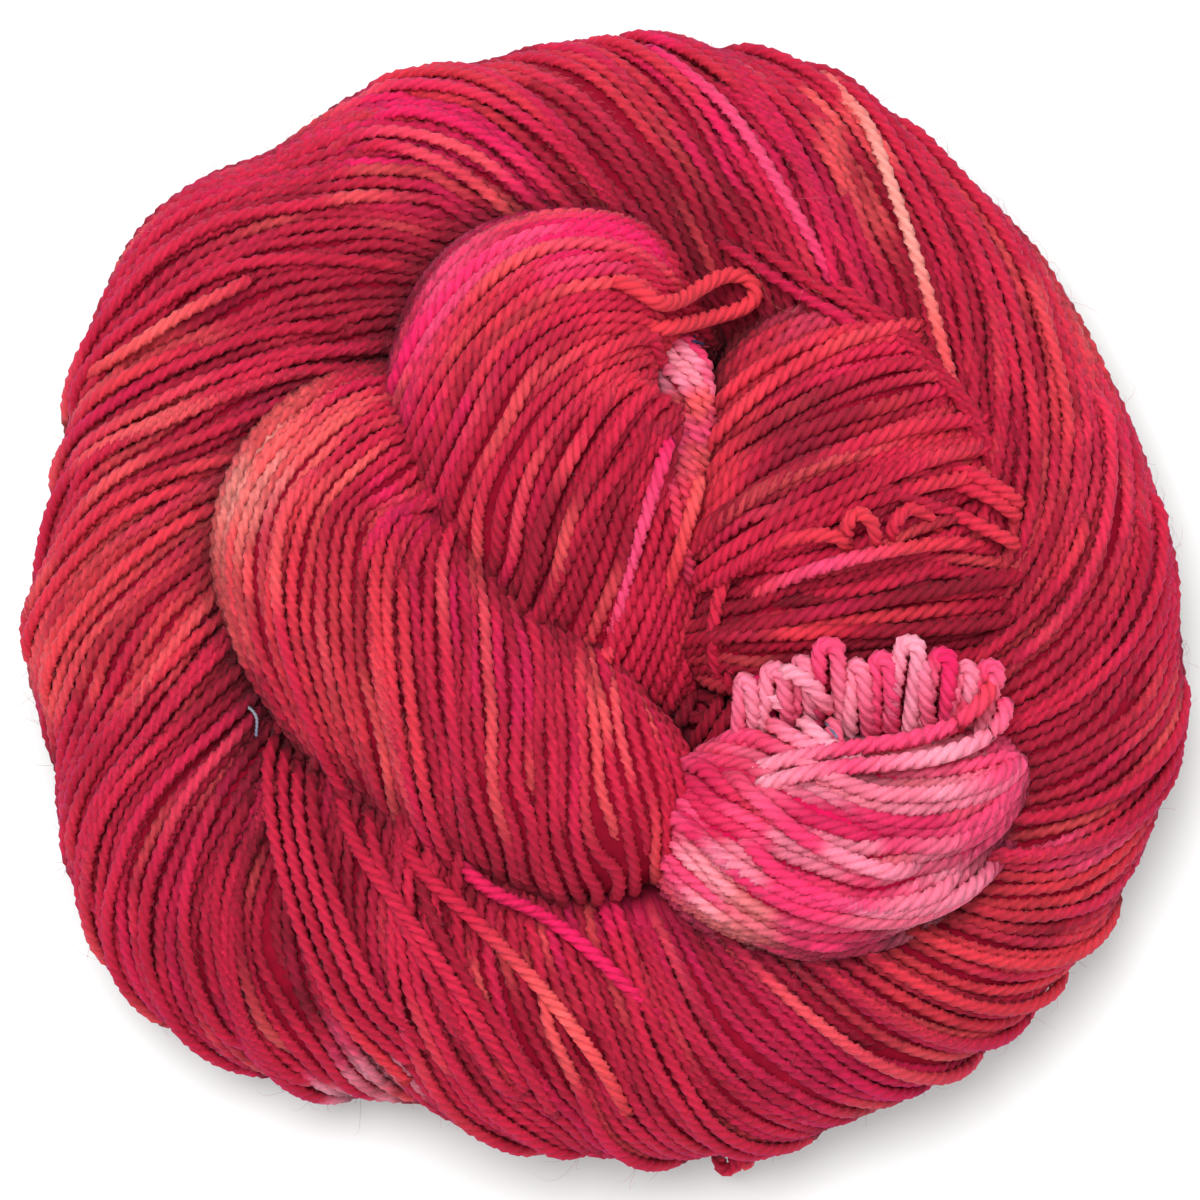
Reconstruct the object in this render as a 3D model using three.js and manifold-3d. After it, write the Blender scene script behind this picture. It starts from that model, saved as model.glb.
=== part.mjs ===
// A hank of fine plied yarn, twisted into a thick rope and coiled into a round rosette.
// Millimetres, +Z up. The origin is under the middle of the rosette, on the surface it lies on.
// x runs right and y runs up in a view from straight above.

import * as THREE from "three";
import { mergeVertices } from "three/addons/utils/BufferGeometryUtils.js";
import Module from "manifold-3d";

const FURROW = 1.4; // depth of the furrow between two bundles of turns
const BUNDLE_WIDTH = 6.6; // width of one bundle of turns, measured round the rope
const SECTION_STEP = 6.0; // distance between two sections along a lobe
const FLATTENING = 1.6; // how far the underside is pressed flat where it lies
const LOOP_YARN = 2.2; // thickness of the loose loop, a softer stretch of the same yarn
const LOOP_SIDES = 8;
const LOOP_STEPS = 26;

const CRIMSON = 0xb92c48;
const CORAL = 0xd2414f;
const ROUGHNESS = 0.85;

// The outer turn runs clockwise from its tucked-in start at the lower left, once round, and on
// inwards over its own start. bearing is in degrees from +X, edge is the distance from the origin
// to the outer side, and lay is the angle of the yarn to the rope's own direction, on top.
const OUTER_TURN = rows(
  ["bearing", "edge", "halfWidth", "halfHeight", "lift", "lay"],
  [
    [263, 56, 9, 6, 0, 50],
    [256, 60.4, 12.8, 9, 0, 52],
    [249, 65.2, 15.2, 11.5, 0, 54],
    [241, 71, 18, 14.5, 0, 54],
    [230, 75.6, 20.2, 17.4, 0, 54],
    [219, 78.8, 22.2, 18.9, 0, 54],
    [208, 77.8, 21.6, 19.5, 0, 56],
    [197, 74.7, 19.7, 19.5, 0, 55],
    [185, 75.4, 21, 19.5, 0, 48],
    [173, 73, 19.1, 19.3, 0, 43],
    [161, 73.8, 19.6, 19.3, 0, 41],
    [150, 76.4, 21.4, 19.5, 0, 35],
    [139, 78.4, 22.8, 19.5, 0, 31],
    [127, 74.2, 19.6, 19.3, 0, 31],
    [117, 74.6, 20.6, 19.3, 0, 35],
    [105, 73.4, 19.8, 19.3, 0, 43],
    [93, 74.3, 20.7, 19.5, 0, 46],
    [80, 74.5, 20.7, 19.5, 0, 45],
    [67, 75.6, 21.8, 19.5, 0, 40],
    [54, 73.6, 20.2, 19.3, 0, 34],
    [41, 73.4, 20.4, 19.2, 0, 30],
    [28, 72.6, 19.8, 19.2, 0, 27],
    [15, 73.1, 20.1, 19.3, 0, 25],
    [2, 74.7, 20.9, 19.4, 0, 30],
    [-12, 75.9, 21.1, 19.5, 0, 42],
    [-26, 76.8, 21.4, 19.6, 0, 50],
    [-40, 76, 20.9, 19.6, 0, 57],
    [-54, 75, 20.8, 19.6, 0, 60],
    [-68, 73.3, 20.3, 19.6, 0, 60],
    [-80, 72.2, 20.2, 19.5, 0, 58],
    [-91, 71, 20, 19.4, 0.8, 52],
    [-102, 69.8, 20, 19.2, 3, 47],
    [-113, 66.6, 20, 19, 6, 42],
    [-124, 61.6, 19.8, 18.4, 8.4, 35],
    [-136, 55.6, 19.2, 17.6, 9.6, 27],
    [-148, 50.4, 17.2, 15.6, 10, 19],
    [-159, 47.6, 13.6, 12.2, 10.6, 14],
    [-169, 44.6, 8.6, 8, 12, 10],
    [-176, 42, 4, 4, 14, 10],
  ],
);

// The other lobes are listed by the middle of each section and its height above the surface.
const LOBE_COLUMNS = ["x", "y", "z", "halfWidth", "halfHeight", "lay"];

// The rope's hidden inner turn, which fills the middle and shows from below.
const INNER_TURN = rows(LOBE_COLUMNS, [
  [-33, -20, 8, 5, 5, 40],
  [-33, -13, 12, 11, 10, 40],
  [-31, 0, 14, 16, 14, 42],
  [-24, 15, 14, 17, 14.5, 42],
  [-10, 25, 14, 17, 14.5, 42],
  [8, 26, 14, 17, 14.5, 42],
  [23, 16, 14, 17, 14.5, 42],
  [30, 1, 14, 17, 14.5, 42],
  [25, -15, 14, 17, 14.5, 42],
  [12, -25, 14, 16.5, 14, 42],
  [-3, -22, 13, 15, 13, 42],
  [-9, -10, 12, 13, 12, 42],
  [-4, -1, 11, 10, 10.5, 42],
  [3, 1, 9, 5, 6, 42],
]);

// The long lobe that crosses from the upper left to the lower middle.
const LONG_LOBE = rows(LOBE_COLUMNS, [
  [-13, 24, 19, 5, 5, 6],
  [-18, 23.2, 24, 9, 9, 8],
  [-24.2, 21, 29, 13.4, 13, 10],
  [-30, 16.4, 32.6, 17, 16.4, 16],
  [-32.8, 9.8, 34.4, 18.6, 17.6, 28],
  [-30.4, 1.5, 35.4, 19.1, 18.2, 38],
  [-22.8, -8.1, 35.4, 19.2, 18.4, 44],
  [-13.6, -16.6, 34.4, 18.7, 18.2, 52],
  [-5.2, -22.3, 32.4, 17, 17.2, 61],
  [2, -25.2, 29, 13.4, 14.6, 68],
  [6.8, -26.6, 25, 8, 9, 72],
  [9, -27.4, 22, 4, 4.5, 72],
]);

// The fan that is pinched at the middle and spreads over the top of the rosette.
const FAN_LOBE = rows(LOBE_COLUMNS, [
  [13, 33.2, 24, 3, 4, 2],
  [10, 35, 28, 5, 7, 6],
  [5.6, 37, 32, 8.8, 10.4, 12],
  [0, 38.2, 35, 14.8, 15.2, 20],
  [-5.4, 34, 36.4, 20.2, 17.8, 28],
  [-8, 25.6, 36.4, 21.4, 18.4, 33],
  [-8, 16.4, 34, 21, 18.4, 38],
  [-5.2, 8, 29.6, 19.6, 17.8, 48],
  [-1, 0.4, 24, 17.4, 16.4, 48],
  [4, -6.6, 18, 13, 13, 44],
  [8, -12, 13, 7, 7, 40],
]);

// The few pale turns in the crease between the two fans.
const CREASE_TURNS = rows(LOBE_COLUMNS, [
  [8.6, 35.4, 36, 2, 2, 20],
  [11, 33, 39.4, 3, 2.8, 20],
  [12.6, 28.6, 40.4, 3.4, 3, 20],
  [12.4, 23, 40.4, 3.2, 3, 20],
  [11, 16.8, 39.6, 2.8, 3, 20],
  [9.8, 10.4, 37.4, 2.4, 2.8, 20],
  [9, 4, 33.6, 2.2, 2.6, 20],
  [8.4, -2, 29, 1.8, 2, 20],
]);

// The second fan, which opens from the middle to the upper right.
const SIDE_FAN = rows(LOBE_COLUMNS, [
  [9.5, 7.2, 20, 4, 5, 0],
  [14, 10.2, 26.5, 9, 11, 0],
  [20, 13.8, 30.8, 14.8, 15, 0],
  [26.5, 17.4, 32.2, 20.6, 16, 1],
  [33, 20.8, 30.6, 23.4, 15.4, 2],
  [39, 23.8, 26.2, 23.2, 14.2, 2],
  [44, 26.2, 22, 20, 12.6, 0],
  [48, 28, 15, 12, 10, 0],
]);

// The level turns between the second fan and the hank's end.
const LEVEL_LOBE = rows(LOBE_COLUMNS, [
  [11.4, -3.8, 22, 4, 4, 0],
  [16, -2.4, 28, 9, 9, 0],
  [24, -0.6, 30.4, 12.4, 11.6, 0],
  [33, 1.4, 30.8, 13.4, 11.8, 1],
  [41, 3, 30.2, 13, 11.6, 1],
  [46.2, 4, 28, 10.8, 10.8, 0],
  [49.4, 4.6, 23, 5.4, 6.4, 0],
]);

// The hank's end: the turns bend over in one fat knob.
const END_KNOB = rows(LOBE_COLUMNS, [
  [7.6, -24, 24, 4, 5, 20],
  [10, -25.5, 28, 9.6, 9.5, 18],
  [14, -27.5, 31, 13.5, 12.6, 17],
  [20, -29.5, 33, 15.6, 14.6, 16],
  [27.8, -30.4, 34.4, 16, 15.4, 14],
  [36, -29, 35, 15.6, 15, 14],
  [43, -26, 35, 13.4, 13.4, 10],
  [48.4, -23.2, 34.6, 9.8, 10.8, 0],
  [51.8, -21.6, 33.8, 6, 7, -6],
  [53, -21.2, 33.2, 3, 4, -6],
]);

// The small loop of turns that sticks out of the outer turn at the bottom.
const STRAY_LOOP = rows(LOBE_COLUMNS, [
  [14.4, -66, 9, 1.6, 1.6, 0],
  [15.2, -70, 8, 2.4, 2.2, 0],
  [16.4, -72.6, 7.2, 2.6, 2.2, 0],
  [17.4, -74.2, 6.6, 1.2, 1.2, 0],
]);

// The loose loop of yarn at the pinch of the fan: middle line of the yarn.
const LOOP_ROUTE = rows(
  ["x", "y", "z"],
  [
    [1.2, 42.6, 51],
    [4.2, 41.2, 51],
    [7, 39.6, 50],
    [9.6, 40, 46.4],
    [12.5, 41.8, 42.4],
    [15.2, 43.2, 39.2],
    [17.8, 43.2, 37.8],
    [19.3, 41.7, 37.8],
    [19, 40, 37.6],
    [17.2, 38.9, 38.2],
    [14.6, 38.1, 40],
    [11.6, 37.2, 43.2],
    [8.8, 36.9, 47],
    [6.2, 37, 49.8],
  ],
);

/** Turn a table of plain rows into rows with named columns. */
function rows(columns, table) {
  return table.map((row) => Object.fromEntries(columns.map((name, i) => [name, row[i]])));
}

/** Give each row of the outer turn the middle and height of its section. */
function placeOnRing(stations) {
  return stations.map((row) => {
    const angle = THREE.MathUtils.degToRad(row.bearing);
    const reach = row.edge - row.halfWidth;
    return {
      ...row,
      x: reach * Math.cos(angle),
      y: reach * Math.sin(angle),
      z: row.halfHeight - FLATTENING + row.lift,
    };
  });
}

/** Curve through one triple of named columns. */
function through(stations, names) {
  const points = stations.map((row) => new THREE.Vector3(...names.map((name) => row[name])));
  return new THREE.CatmullRomCurve3(points, false, "catmullrom", 0.5);
}

/** Sections of a lobe at even steps, each with its middle, frame, size and turn of the yarn. */
function sections(stations) {
  const middle = through(stations, ["x", "y", "z"]);
  const size = through(stations, ["halfWidth", "halfHeight", "lay"]);
  const count = Math.max(6, Math.round(middle.getLength() / SECTION_STEP));
  const list = [];
  let turn = 0;
  let last = null;
  for (let i = 0; i <= count; i += 1) {
    const at = middle.getUtoTmapping(i / count);
    const centre = middle.getPoint(at);
    const form = size.getPoint(at);
    const along = middle.getTangent(at);
    const side = new THREE.Vector3(-along.y, along.x, 0).normalize();
    const up = new THREE.Vector3().crossVectors(along, side).normalize();
    if (last) {
      const slope = Math.tan(THREE.MathUtils.degToRad(form.z));
      turn += (centre.distanceTo(last) * slope) / Math.max(form.x, form.y);
    }
    last = centre;
    list.push({ centre, side, up, along, halfWidth: form.x, halfHeight: form.y, turn });
  }
  return list;
}

/** Closed lobe with furrows that follow the yarn. */
function lobe(stations) {
  const list = sections(stations);
  const widest = Math.max(...stations.map((row) => row.halfWidth + row.halfHeight));
  const bundles = Math.max(8, Math.round((Math.PI * widest) / BUNDLE_WIDTH / Math.SQRT2));
  const around = 2 * bundles;
  const positions = [];
  for (const { centre, side, up, halfWidth, halfHeight, turn } of list) {
    const furrow = Math.min(FURROW, halfWidth / 8);
    for (let k = 0; k < around; k += 1) {
      const angle = (k * Math.PI) / bundles + turn;
      const inset = k % 2 ? furrow : 0;
      const point = centre
        .clone()
        .addScaledVector(side, (halfWidth - inset) * Math.cos(angle))
        .addScaledVector(up, (halfHeight - inset) * Math.sin(angle));
      positions.push(point.x, point.y, point.z);
    }
  }
  const index = [];
  for (let i = 0; i + 1 < list.length; i += 1) {
    for (let k = 0; k < around; k += 1) {
      const next = (k + 1) % around;
      const here = i * around;
      const there = here + around;
      if (list[i + 1].turn >= list[i].turn) {
        index.push(here + k, here + next, there + k);
        index.push(here + next, there + next, there + k);
      } else {
        index.push(here + k, here + next, there + next);
        index.push(here + k, there + next, there + k);
      }
    }
  }
  capEnd(positions, index, list[0], 0, around, -1);
  capEnd(positions, index, list[list.length - 1], (list.length - 1) * around, around, 1);
  const geometry = new THREE.BufferGeometry();
  geometry.setAttribute("position", new THREE.Float32BufferAttribute(positions, 3));
  geometry.setIndex(index);
  return geometry;
}

/** Close one end of a lobe with a blunt nose. */
function capEnd(positions, index, section, first, around, direction) {
  const nose = section.centre
    .clone()
    .addScaledVector(section.along, direction * section.halfWidth * 0.5);
  const tip = positions.length / 3;
  positions.push(nose.x, nose.y, nose.z);
  for (let k = 0; k < around; k += 1) {
    const next = (k + 1) % around;
    if (direction > 0) index.push(first + k, first + next, tip);
    else index.push(first + next, first + k, tip);
  }
}

/** Solid made of a closed geometry. */
function toSolid(wasm, geometry) {
  const bare = new THREE.BufferGeometry();
  bare.setAttribute("position", geometry.getAttribute("position"));
  if (geometry.index) bare.setIndex(geometry.index);
  const merged = mergeVertices(bare, 1e-4);
  const vertProperties = new Float32Array(merged.getAttribute("position").array);
  const triVerts = new Uint32Array(merged.index.array);
  return new wasm.Manifold(new wasm.Mesh({ numProp: 3, vertProperties, triVerts }));
}

/** Geometry of a solid, for display. */
function toGeometry(solid) {
  const mesh = solid.getMesh();
  const positions = new Float32Array(mesh.vertProperties.length);
  positions.set(mesh.vertProperties);
  const geometry = new THREE.BufferGeometry();
  geometry.setAttribute("position", new THREE.BufferAttribute(positions, 3));
  geometry.setIndex(Array.from(mesh.triVerts));
  geometry.computeVertexNormals();
  return geometry;
}

/** The whole wound form, one solid, pressed flat underneath. */
function buildHank(wasm) {
  const lobes = [
    placeOnRing(OUTER_TURN),
    INNER_TURN,
    LONG_LOBE,
    FAN_LOBE,
    CREASE_TURNS,
    SIDE_FAN,
    LEVEL_LOBE,
    END_KNOB,
    STRAY_LOOP,
  ];
  const joined = lobes
    .map((stations) => toSolid(wasm, lobe(stations)))
    .reduce((whole, next) => whole.add(next));
  const reach = 220;
  const depth = 30;
  const surface = new THREE.BoxGeometry(reach, reach, depth).translate(0, 0, -depth / 2);
  const pieces = joined.subtract(toSolid(wasm, surface)).decompose();
  const outside = pieces.reduce((a, b) => (a.volume() > b.volume() ? a : b));
  return toGeometry(outside);
}

/** The loose loop: a round tube along its route. */
function buildLoop() {
  const route = through(LOOP_ROUTE, ["x", "y", "z"]);
  const section = new THREE.Shape();
  for (let k = 0; k < LOOP_SIDES; k += 1) {
    const angle = (2 * Math.PI * k) / LOOP_SIDES;
    const x = (LOOP_YARN / 2) * Math.cos(angle);
    const y = (LOOP_YARN / 2) * Math.sin(angle);
    if (k === 0) section.moveTo(x, y);
    else section.lineTo(x, y);
  }
  section.closePath();
  const tube = new THREE.ExtrudeGeometry(section, { steps: LOOP_STEPS, extrudePath: route });
  tube.deleteAttribute("normal");
  tube.deleteAttribute("uv");
  const merged = mergeVertices(tube, 1e-4);
  merged.computeVertexNormals();
  return merged;
}

/** Mesh with a name and a woollen finish. */
function piece(name, geometry, color) {
  const finish = new THREE.MeshStandardMaterial({ color, roughness: ROUGHNESS, metalness: 0 });
  const mesh = new THREE.Mesh(geometry, finish);
  mesh.name = name;
  return mesh;
}

const wasm = await Module();
wasm.setup();

const skein = new THREE.Group();
skein.add(piece("hank", buildHank(wasm), CRIMSON));
skein.add(piece("loose_loop", buildLoop(), CORAL));

export default skein;
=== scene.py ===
"""Looks of a coiled hank of hand-dyed plied yarn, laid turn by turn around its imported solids.

The rope of yarn is a handful of lobes. Each lobe is a bent tube with its own sections, and the
turns of yarn lie side by side round it. Tables of places are in millimetres and degrees, seen
from straight above with +X to the right and +Y up, and are turned into metres when read.
"""

import logging
import math
from dataclasses import dataclass, field, fields
from enum import Enum
from typing import Sequence

import bmesh
import bpy
import numpy as np
from mathutils import Matrix, Vector


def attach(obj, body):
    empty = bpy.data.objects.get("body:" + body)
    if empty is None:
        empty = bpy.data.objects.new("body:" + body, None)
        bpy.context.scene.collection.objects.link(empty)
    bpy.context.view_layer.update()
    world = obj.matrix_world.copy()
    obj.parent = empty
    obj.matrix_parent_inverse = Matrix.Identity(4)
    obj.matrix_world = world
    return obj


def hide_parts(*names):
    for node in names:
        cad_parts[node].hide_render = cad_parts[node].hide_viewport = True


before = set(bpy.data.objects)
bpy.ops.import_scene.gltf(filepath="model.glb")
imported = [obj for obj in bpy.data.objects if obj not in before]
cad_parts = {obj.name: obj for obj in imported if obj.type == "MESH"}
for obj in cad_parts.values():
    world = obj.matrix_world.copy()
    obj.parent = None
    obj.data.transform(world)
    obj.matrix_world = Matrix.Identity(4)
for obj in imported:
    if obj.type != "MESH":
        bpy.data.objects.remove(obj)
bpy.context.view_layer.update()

Array = np.ndarray
log = logging.getLogger("hank")

MM = 0.001
FULL_TURN = 2.0 * math.pi
PLIES = 3
FLATTENING = 1.6  # how far the underside is pressed flat, in millimetres
SURVEY_STEP = 0.25 * MM  # distance between two surveyed sections of a lobe
SURVEY_DETAIL = 120  # points worked out for each station of a lobe
CURVE_DETAIL = 60  # points worked out for each point of a strand's route
OVERLAP = 8  # surveyed sections by which a fine and a plain length overlap
GOLDEN_SHARE = 0.6180339887  # spreads the turns that sink first evenly round a lobe
STREAK_SHIFT = 7.3  # shift of the spun streaks from one strand to the next, in millimetres
LEAST_GROOVE = 0.01  # least depth of a groove between plies, in half thicknesses
FLOOR_ROOM = 0.9  # least height of a strand's middle, in half thicknesses
UPWARD = (0.0, 0.0, 1.0)


# Yarn

class Section(Enum):
    """Points of one ply's section: angle in degrees and distance from the middle."""

    ROUNDED = ((-24.0, 1.0), (24.0, 1.0), (60.0, 0.66))
    RIDGED = ((0.0, 1.0), (60.0, 0.75))
    SMOOTH = ((0.0, 1.0), (60.0, 1.0))
    FIBRE = ((0.0, 1.0),)

    @property
    def lowest(self) -> float:
        """Distance of the grooves between the plies from the middle."""
        return min(reach for _, reach in self.value)


@dataclass(frozen=True)
class Yarn:
    """One make of yarn, in metres."""

    thickness: float
    section: Section = Section.RIDGED
    ply_turn: float = 5.0 * MM
    step: float = 0.7 * MM

    @property
    def radius(self) -> float:
        """Half the thickness."""
        return self.thickness / 2.0


FIRM = Yarn(2.0 * MM, ply_turn=6.2 * MM, step=0.88 * MM)
OPEN = Yarn(2.05 * MM, Section.ROUNDED, ply_turn=5.6 * MM, step=0.78 * MM)
PLUMP = Yarn(2.4 * MM, Section.ROUNDED, ply_turn=6.2 * MM)
HIDDEN = Yarn(2.0 * MM, Section.SMOOTH, step=4.0 * MM)
HAIR = Yarn(0.045 * MM, Section.FIBRE, step=1.0 * MM)
THREAD = Yarn(0.5 * MM, Section.RIDGED, ply_turn=1.6 * MM, step=0.25 * MM)


@dataclass(frozen=True)
class Length:
    """A straight length of yarn: points (x and y in half thicknesses, z in rings) and faces."""

    points: Array
    corners: Array
    sizes: Array
    turned: Array


@dataclass
class Strand:
    """A length of yarn on its route, with one row for each ring."""

    yarn: Yarn
    points: Array
    outward: Array
    colours: Array
    girth: Array


def drawn_out(name: str, ring: Sequence[tuple[float, float]], steps: int,
              twist: float = 0.0) -> bpy.types.Mesh:
    """Draw a ring of points out into a tube that is closed at both ends.

    Args:
        name: Name of the mesh.
        ring: Angle in degrees and distance from the middle of each point.
        steps: How many steps the tube has, each of height one.
        twist: Turn of each step, in radians.

    Returns:
        The mesh of the tube.
    """
    work = bmesh.new()
    bmesh.ops.create_circle(work, segments=len(ring), radius=1.0)
    for vert, (degrees, reach) in zip(work.verts, ring):
        angle = math.radians(degrees)
        vert.co = Vector((math.cos(angle), math.sin(angle), 0.0)) * reach
    bmesh.ops.spin(
        work,
        geom=list(work.verts) + list(work.edges),
        cent=(0.0, 0.0, 0.0),
        axis=UPWARD,
        dvec=UPWARD,
        angle=twist * steps,
        space=Matrix(),
        steps=steps,
    )
    rims = [edge for edge in work.edges if edge.is_boundary]
    bmesh.ops.holes_fill(work, edges=rims, sides=0)
    bmesh.ops.recalc_face_normals(work, faces=list(work.faces))
    mesh = bpy.data.meshes.new(name)
    work.to_mesh(mesh)
    work.free()
    return mesh


class SpinningWheel:
    """Spins straight lengths of yarn and keeps them for reuse."""

    def __init__(self) -> None:
        """Start with no length spun."""
        self._kept: dict[tuple[Yarn, int], Length] = {}

    def length(self, yarn: Yarn, rings: int) -> Length:
        """Give a straight length of a number of rings.

        Args:
            yarn: The make of yarn.
            rings: How many steps the length has.

        Returns:
            The spun length.
        """
        if (yarn, rings) not in self._kept:
            self._kept[(yarn, rings)] = self._spin(yarn, rings)
        return self._kept[(yarn, rings)]

    def _spin(self, yarn: Yarn, rings: int) -> Length:
        """Spin one length: a section of plies, turned as it is drawn out, and closed."""
        twist = -FULL_TURN * yarn.step / yarn.ply_turn
        ring = [(ply * 360.0 / PLIES + angle, reach)
                for ply in range(PLIES) for angle, reach in yarn.section.value]
        mesh = drawn_out("spun", ring, rings, twist)
        points = read_array(mesh.vertices, "co", 3)
        corners = read_array(mesh.loops, "vertex_index", 1, np.int32)
        sizes = read_array(mesh.polygons, "loop_total", 1, np.int32)
        bpy.data.meshes.remove(mesh)
        turned = np.arctan2(points[:, 1], points[:, 0]) - twist * points[:, 2]
        return Length(points, corners, sizes, turned)


WHEEL = SpinningWheel()


def read_array(rows: bpy.types.bpy_prop_collection, name: str, width: int,
               kind: type = np.float32) -> Array:
    """Read one property of a mesh's rows as an array of the given width."""
    values = np.empty(len(rows) * width, kind)
    rows.foreach_get(name, values)
    return values.reshape(-1, width) if width > 1 else values


def unit(vectors: Array) -> Array:
    """Scale rows to length one."""
    return vectors / np.maximum(np.linalg.norm(vectors, axis=-1, keepdims=True), 1e-12)


def ease(value: Array) -> Array:
    """Soft step from 0 to 1."""
    value = np.clip(value, 0.0, 1.0)
    return value * value * (3.0 - 2.0 * value)


def along_route(points: Array) -> Array:
    """Distance of each point along its route."""
    return np.r_[0.0, np.cumsum(np.linalg.norm(np.diff(points, axis=0), axis=1))]


def resample(at: Array, known: Array, rows: Array) -> Array:
    """Rows of a table at other places along it."""
    return np.stack([np.interp(at, known, column) for column in rows.T], axis=1)


def catmull(points: Array, at: Array) -> Array:
    """Smooth curve through points.

    Args:
        points: One row for each point.
        at: Places from 0, the first point, to 1, the last.

    Returns:
        One row for each place.
    """
    last = len(points) - 2
    place = at * (len(points) - 1)
    span = np.minimum(place.astype(int), last)
    w = (place - span)[:, None]
    ends = np.vstack([2 * points[0] - points[1], points, 2 * points[-1] - points[-2]])
    before, here, there, after = (ends[span + shift] for shift in range(4))
    leave, arrive = (there - before) / 2.0, (after - here) / 2.0
    cubic = 2 * here - 2 * there + leave + arrive
    square = 3 * (there - here) - 2 * leave - arrive
    return ((cubic * w + square) * w + leave) * w + here


def even_curve(points: Array, step: float) -> Array:
    """Smooth curve through points, in even steps of about the given length."""
    fine = catmull(points, np.linspace(0.0, 1.0, CURVE_DETAIL * len(points)))
    run = along_route(fine)
    count = max(4, int(round(run[-1] / step)))
    return resample(np.linspace(0.0, run[-1], count + 1), run, fine)


class Drift:
    """Smooth wandering of one value along a route, from seeded waves."""

    WAVES = ((1.0, 0.62), (2.3, 0.3), (5.1, 0.14))  # how much shorter each is, and its weight

    def __init__(self, rng: np.random.Generator, wavelength: float) -> None:
        """Draw the waves.

        Args:
            rng: Seeded source.
            wavelength: Length of the longest wave.
        """
        self._waves = [
            (FULL_TURN / (wavelength / shorter), rng.uniform(0.0, FULL_TURN), weight)
            for shorter, weight in self.WAVES
        ]

    def at(self, run: Array) -> Array:
        """Value from about -1 to 1 at each place along the route."""
        return sum(weight * np.sin(run * pace + phase) for pace, phase, weight in self._waves)


# Dyes

class Dye(Enum):
    """The dyer's colours, and one colour of painted shadow, as screen values of a lit tuft."""

    CRIMSON = (203, 28, 65)
    WINE = (172, 13, 49)
    MAROON = (132, 9, 36)
    SCARLET = (224, 54, 70)
    CORAL = (246, 92, 94)
    PEACH = (254, 156, 146)
    RASPBERRY = (210, 22, 78)
    FUCHSIA = (234, 22, 96)
    PINK = (243, 70, 119)
    BLUSH = (253, 156, 178)
    # Not a dye: painted shadow, laid along the crevice at the foot of the rosette.
    DUSK = (84, 8, 24)
    NAVY = (38, 42, 86)
    SLATE = (120, 128, 158)
    ASH = (182, 184, 196)
    TAN = (196, 160, 120)

    @property
    def linear(self) -> Array:
        """The colour in linear light."""
        shown = np.array(self.value) / 255.0
        return np.where(shown <= 0.04045, shown / 12.92, ((shown + 0.055) / 1.055) ** 2.4)


(CRIMSON, WINE, MAROON, SCARLET, CORAL, PEACH, RASPBERRY, FUCHSIA, PINK, BLUSH, DUSK, NAVY, SLATE,
 ASH, TAN) = Dye


@dataclass(frozen=True)
class Patch:
    """A stretch of one colour, seen from above: its middle, half sizes and heading."""

    dye: Dye
    x: float
    y: float
    long: float
    wide: float
    heading: float
    strength: float

    REACH = 1.3  # where the colour ends, in half sizes
    FADE = 0.6  # how much of that it takes to fade

    def cover(self, places: Array) -> Array:
        """How strongly the patch covers each place, from 0 to 1."""
        angle = math.radians(self.heading)
        dx, dy = places[:, 0] - self.x, places[:, 1] - self.y
        ahead = (dx * math.cos(angle) + dy * math.sin(angle)) / self.long
        aside = (dy * math.cos(angle) - dx * math.sin(angle)) / self.wide
        return self.strength * ease((self.REACH - np.hypot(ahead, aside)) / self.FADE)


@dataclass(frozen=True)
class DyeBath:
    """How one lobe took its colours: its dyes, and in some lobes patches of painted shade and
    highlight.
    """

    base: Dye
    patches: tuple[Patch, ...] = ()
    streak: float = 0.22
    stray: float = 2.4

    KEENNESS = (0.7, 1.15)  # least and most that one strand takes of a patch
    STREAK_DYES = ((CORAL, 1.0), (WINE, 1.5), (RASPBERRY, 1.0))
    STREAK_LENGTH = 40.0 * MM
    STREAK_GAIN = 2.4
    STREAK_MOST = 0.8
    SHIMMER = 0.09  # how much lighter and darker a strand gets along it
    SHIMMER_LENGTH = 13.0 * MM

    def colours(self, points: Array, run: Array, rng: np.random.Generator) -> Array:
        """Colour a strand.

        Args:
            points: Places along the strand, in metres.
            run: Distance along the strand, in metres.
            rng: Seeded source, so that each strand takes the dye a little differently.

        Returns:
            Linear colour for each place.
        """
        places = points[:, :2] / MM + rng.normal(0.0, self.stray, 2)
        keen = rng.uniform(*self.KEENNESS)
        tint = np.tile(self.base.linear, (len(points), 1))
        for patch in self.patches:
            cover = np.clip(keen * patch.cover(places), 0.0, 1.0)[:, None]
            tint = tint * (1.0 - cover) + patch.dye.linear * cover
        for other, share in self.STREAK_DYES:
            sway = ease(Drift(rng, self.STREAK_LENGTH).at(run) + rng.normal(-0.5, 0.5))
            mix = np.clip(share * self.streak * self.STREAK_GAIN * sway, 0.0, self.STREAK_MOST)
            mix = mix[:, None]
            tint = tint * (1.0 - mix) + other.linear * mix
        shimmer = self.SHIMMER * Drift(rng, self.SHIMMER_LENGTH).at(run)
        return tint * (1.0 + shimmer)[:, None]


# Lobes

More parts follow.
